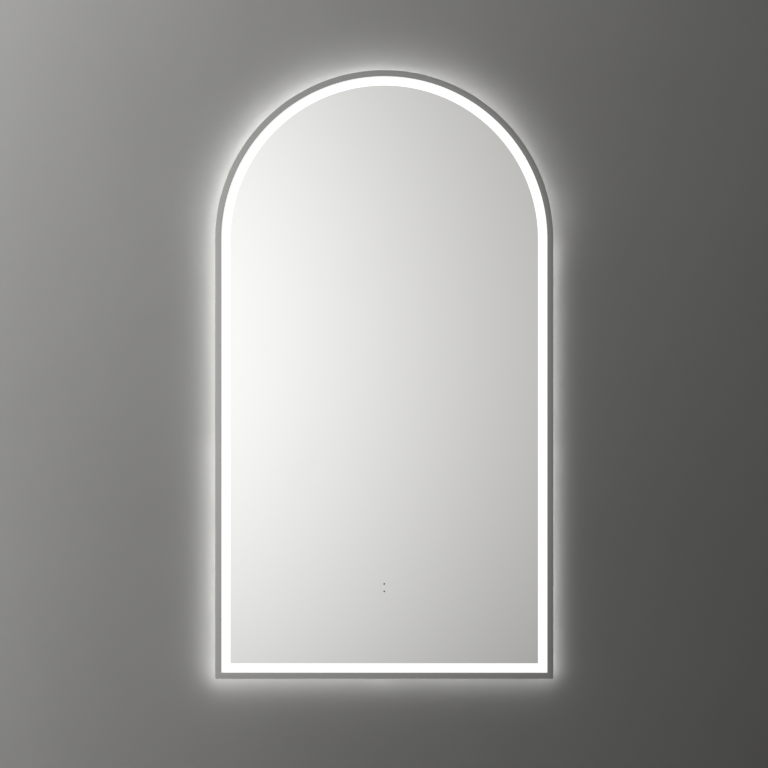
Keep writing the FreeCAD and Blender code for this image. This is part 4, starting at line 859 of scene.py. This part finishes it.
# Folded sections, as (depth, height, radius).
RAIL_SECTION = (
    (0.0, -14.0, 0.4), (0.0, 14.0, 2.4), (-4.3, 14.0, 0.4), (-4.3, 26.0, 0.5),
    (-6.3, 26.0, 0.5), (-6.3, 12.0, 2.4), (-2.0, 12.0, 0.4), (-2.0, -14.0, 0.4),
)
HANGER_SECTION = (
    (-9.0, 26.0, 2.4), (-9.0, 52.0, 0.4), (-7.0, 52.0, 0.4), (-7.0, 28.0, 0.4),
    (-2.0, 28.0, 2.4), (-2.0, 14.3, 0.5), (-4.0, 14.3, 0.5), (-4.0, 26.0, 0.4),
)
RAIL_END = 130.0
RAIL_HOLES = (-100.0, 100.0)
RAIL_HOLE_RADIUS = 2.75
RAIL_SLOTS = (-45.0, 45.0)
# Length, height and corner of a slot.
RAIL_SLOT = (24.0, 5.5, 2.7)
HANGER_END = 118.0
RIVETS = (-100.0, -50.0, 0.0, 50.0, 100.0)
RIVET_LEVEL = 40.0


def hanging_pieces():
    blank, holes = bmesh.new(), bmesh.new()
    bar(blank, eased(RAIL_SECTION), -RAIL_END, RAIL_END)
    for x in RAIL_HOLES:
        turned(holes, x, 0.0, ((RAIL_HOLE_RADIUS, -8.0), (RAIL_HOLE_RADIUS, 2.0)), 32)
    for x in RAIL_SLOTS:
        ends = panel(x, 0.0, *RAIL_SLOT, 8)
        loft(holes, [[Vector((a, y, b)) for a, b in ends] for y in (-3.0, 2.0)])
    make("rail_pressing", bored(blank, holes), "wall_rail", "rail_steel", ["wall_rail"])
    bm = bmesh.new()
    bar(bm, eased(HANGER_SECTION), -HANGER_END, HANGER_END)
    make("hanger_pressing", bm, "mirror", "rail_steel", ["hanger_bar"])
    bm = bmesh.new()
    profile = ((1.0, -11.2), (2.4, -11.1), (2.7, -10.6), (2.2, -10.1), (2.0, -9.9), (2.0, -7.0),
               (3.85, -7.0), (4.0, -6.85), (3.8, -6.5), (3.1, -6.1), (2.1, -5.88), (1.25, -5.8),
               (1.05, -5.95), (1.0, -6.6))
    for x in RIVETS:
        turned(bm, x, RIVET_LEVEL, profile, 36)
    make("domed_rivets", bm, "mirror", "rivet_aluminium", ["hanger_rivets"])


frame_pieces()
glass_pieces()
rear_ring()
back_plate()
plate_screws()
terminal_cover()
rubber_pieces()
hanging_pieces()

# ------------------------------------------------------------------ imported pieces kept

for part in frame["record"]["subparts"]:
    kept = frame["nodes"][part["node"]]
    kept.data.materials.clear()
    kept.data.materials.append(FINISHES[part["material_slot"]])

# ------------------------------------------------------------------ backdrop, floor, light and camera

EYE = Vector((-0.0004, FRONT_Y * MM - 2.6802, -0.2042))
BACKDROP_Y = 0.0006
BACKDROP_TONE = 0.165
GLOW_WIDTH = 6.0
LEG_HALF = 325.0
# Each side's glow: how far before the backdrop, and watts per metre of run.
GLOW_FOOT = (-21.0, 0.6)
GLOW_LEFT = (-20.0, 0.57)
GLOW_RIGHT = (-15.0, 0.56)
GLOW_ARCH = (-20.0, 0.83)
FLOOR_Z = -1.35


def backdrop_paint():
    """Paint with painted light: graded lighter to the left and higher up, as a key lamp's falloff would leave
    it. It takes the mirror's shadow and glow, and shows only from the front.
    """
    material, tree, skin = start("painted_light_backdrop")
    shader = tree.nodes["Principled BSDF"]
    point = here(tree)
    split = node(tree, "SeparateXYZ", {0: point}).outputs
    # Painted light: the exponent of a grade that darkens from left to right and lightens from foot to top, in
    # place of the key lamp's falloff.
    across = between(tree, split["X"], -0.9, 0.9, 0.99, -0.95)
    up = between(tree, split["Z"], -1.1, 0.7, -0.36, 0.34)
    painted_light_grade = calc(tree, "EXPONENT", plus(tree, across, up))
    mottle = between(tree, noise(tree, point, 3.0, 4.0, 0.55), 0.3, 0.7, 0.97, 1.03)
    # The paint's tone times the painted light grade and a random mottle.
    tone = times(tree, times(tree, painted_light_grade, mottle), BACKDROP_TONE)
    green = times(tree, tone, 0.993)
    blue = times(tree, tone, 0.972)
    paint = node(tree, "CombineColor", {0: tone, 1: green, 2: blue}).outputs[0]
    put(tree, skin["Base Color"], paint)
    skin["Roughness"].default_value = 0.9
    skin["Specular IOR Level"].default_value = 0.1
    rays = node(tree, "LightPath").outputs
    behind = node(tree, "NewGeometry").outputs["Backfacing"]
    hole = calc(tree, "MAXIMUM", behind, minus(tree, 1.0, rays["Is Camera Ray"]))
    clear = tree.nodes.new("ShaderNodeBsdfTransparent")
    mixed = node(tree, "MixShader", {0: hole, 1: shader.outputs[0], 2: clear.outputs[0]})
    tree.links.new(mixed.outputs[0], tree.nodes["Material Output"].inputs[0])
    return material


def pale_floor():
    material, tree, skin = start("pale_floor")
    mottle = noise(tree, here(tree), 2.0, 3.0, 0.5)
    put(tree, skin["Base Color"], blend_colour(tree, mottle, (0.66, 0.66, 0.655, 1), (0.7, 0.7, 0.695, 1)))
    skin["Roughness"].default_value = 0.7
    skin["Emission Color"].default_value = (1.0, 1.0, 0.99, 1)
    skin["Emission Strength"].default_value = 0.25
    return material


def stage_piece(name, bm, material):
    mesh = bpy.data.meshes.new(name)
    bm.to_mesh(mesh)
    bm.free()
    mesh.materials.append(material)
    made = bpy.data.objects.new(name, mesh)
    bpy.context.scene.collection.objects.link(made)
    return made


def face_way(bm, way):
    """Turns each flat face to look one way."""
    for face in bm.faces:
        face.normal_update()
        if face.normal.dot(way) < 0:
            face.normal_flip()


def build_stage():
    bm = bmesh.new()
    rings = [[Vector((x, BACKDROP_Y, z)) for x, z in disc(0.0, -0.2, reach, 96)] for reach in (0.02, 6.0)]
    loft(bm, rings)
    face_way(bm, Vector((0.0, -1.0, 0.0)))
    stage_piece("backdrop", bm, backdrop_paint())
    bm = bmesh.new()
    rings = []
    for reach in (0.02, 2.6):
        spots = disc(0.0, 0.0, reach, 64)
        rings.append([Vector((3.0 * x, 3.0 * z - 1.0, FLOOR_Z)) for x, z in spots])
    loft(bm, rings)
    face_way(bm, Vector((0.0, 0.0, 1.0)))
    floor = stage_piece("floor", bm, pale_floor())
    floor.visible_glossy = False


# Metres from the camera to the glass: a direction times this is a place on the glass.
GLASS_REACH = 2.69
# The light ahead: where the glass ends, where the frame's reflection does, its level at the
# middle, its change per metre to the right, per cubed metre and per metre past the glass, the
# height at which it is brightest, its change per squared metre from there, and a last divisor.
AIR_GLASS = 0.26
AIR_FRAME = 0.36
AIR_MIDDLE = 0.742
AIR_ACROSS = -1.0678
AIR_CUBED = 2.469
AIR_PAST = -3.0
AIR_HEIGHT = 0.0792
AIR_SQUARED = -1.142
AIR_DIVISOR = 0.93


def studio_air():
    """A soft room: brighter on the left and at eye level, as the glass shows it.

    Ahead of the glass its light varies with the place on the glass, and changes faster past the
    glass's edges, where only the frame shows it. Elsewhere it is brightest high on the left.
    """
    world = bpy.data.worlds.new("studio_air")
    bpy.context.scene.world = world
    world.use_nodes = True
    tree = world.node_tree
    tree.nodes.clear()
    ray = node(tree, "TexCoord").outputs["Generated"]
    way = node(tree, "SeparateXYZ", {0: ray}).outputs
    wide = times(tree, way["X"], GLASS_REACH)
    near = held(tree, wide, -AIR_GLASS, AIR_GLASS)
    past = minus(tree, held(tree, wide, -AIR_FRAME, AIR_FRAME), near)
    cube = times(tree, times(tree, near, near), near)
    across = calc(tree, "MULTIPLY_ADD", near, AIR_ACROSS, AIR_MIDDLE)
    across = plus(tree, across, times(tree, cube, AIR_CUBED))
    across = calc(tree, "MULTIPLY_ADD", past, AIR_PAST, across)
    rise = calc(tree, "MULTIPLY_ADD", way["Z"], GLASS_REACH, -AIR_HEIGHT)
    rise = held(tree, rise, -0.5, 0.5)
    level = calc(tree, "MULTIPLY_ADD", times(tree, rise, rise), AIR_SQUARED, 1.0)
    window = calc(tree, "DIVIDE", times(tree, across, level), AIR_DIVISOR)
    facing = between(tree, way["Y"], -0.7, -0.955, kind="SMOOTHSTEP")
    high_left = dot(tree, ray, (-0.55, 0.5, 0.67))
    before = between(tree, high_left, -0.6, 1.0, 0.58, 1.05, kind="SMOOTHSTEP")
    behind = between(tree, high_left, -0.2, 0.95, 0.32, 1.08, kind="SMOOTHSTEP")
    turn = between(tree, way["Y"], -0.1, 0.35, kind="SMOOTHSTEP")
    room = plus(tree, before, times(tree, turn, minus(tree, behind, before)))
    strength = plus(tree, room, times(tree, facing, minus(tree, window, room)))
    tint = blend_colour(tree, between(tree, near, -0.25, 0.25), (1.0, 1.0, 0.985, 1), (1.0, 0.99, 0.965, 1))
    air = node(tree, "Background", {"Color": tint, "Strength": strength})
    out = tree.nodes.new("ShaderNodeOutputWorld")
    tree.links.new(air.outputs[0], out.inputs[0])


def hang_lamp(lamp):
    """Puts a lamp in the scene, where neither the camera nor a reflection shows it."""
    lamp.visible_glossy = False
    lamp.visible_camera = False
    bpy.context.scene.collection.objects.link(lamp)


def soft_lamp(name, spot, aim, size, watts):
    data = bpy.data.lights.new(name, "AREA")
    data.size = size
    data.energy = watts
    lamp = bpy.data.objects.new(name, data)
    lamp.location = spot
    lamp.rotation_euler = (Vector(aim) - Vector(spot)).to_track_quat("-Z", "Y").to_euler()
    hang_lamp(lamp)


def glow_lamps():
    """Light of the strip that leaves the rear ring, in short straight runs."""
    half_way = ARCH_Z - LEG_HALF
    loop = [(-RADIUS, FOOT_Z), (-RADIUS, half_way), (-RADIUS, ARCH_Z)]
    loop += over_the_arch(RADIUS, 16)[1:-1]
    loop += [(RADIUS, ARCH_Z), (RADIUS, half_way), (RADIUS, FOOT_Z), (0.0, FOOT_Z)]
    for k, (x, z) in enumerate(loop):
        next_x, next_z = loop[(k + 1) % len(loop)]
        run = Vector((next_x - x, 0.0, next_z - z)) * MM
        data = bpy.data.lights.new("rear_glow", "AREA")
        data.shape = "RECTANGLE"
        data.size, data.size_y = run.length, GLOW_WIDTH * MM
        side = GLOW_LEFT if x < 0 else GLOW_RIGHT
        depth, watts = GLOW_FOOT if z == next_z else side if x == next_x else GLOW_ARCH
        data.energy = watts * run.length
        data.use_shadow = False
        lamp = bpy.data.objects.new("rear_glow", data)
        along, facing = run.normalized(), Vector((0.0, -1.0, 0.0))
        middle = Vector(((x + next_x) / 2, depth, (z + next_z) / 2)) * MM
        turn = Matrix((along, facing.cross(along), facing)).transposed()
        lamp.matrix_world = Matrix.Translation(middle) @ turn.to_4x4()
        hang_lamp(lamp)


LENS = 85.0
SENSOR_WIDTH = 36.0


def build_lights_and_camera():
    middle = (0.0, -0.02, -0.19)
    soft_lamp("key_left", (-1.4, -2.4, 0.9), middle, 2.2, 22.0)
    soft_lamp("rear_left", (-1.6, 2.2, 1.0), middle, 2.0, 12.0)
    soft_lamp("rear_right", (2.0, 1.8, -0.2), middle, 2.0, 5.0)
    glow_lamps()
    data = bpy.data.cameras.new("portrait_camera")
    data.lens = LENS
    data.sensor_width = SENSOR_WIDTH
    data.clip_end = 30.0
    camera = bpy.data.objects.new("portrait_camera", data)
    camera.location = EYE
    camera.rotation_euler = (math.pi / 2, 0.0, 0.0)
    bpy.context.scene.collection.objects.link(camera)
    bpy.context.scene.camera = camera
    bpy.context.scene.view_settings.view_transform = "Standard"


build_stage()
studio_air()
build_lights_and_camera()
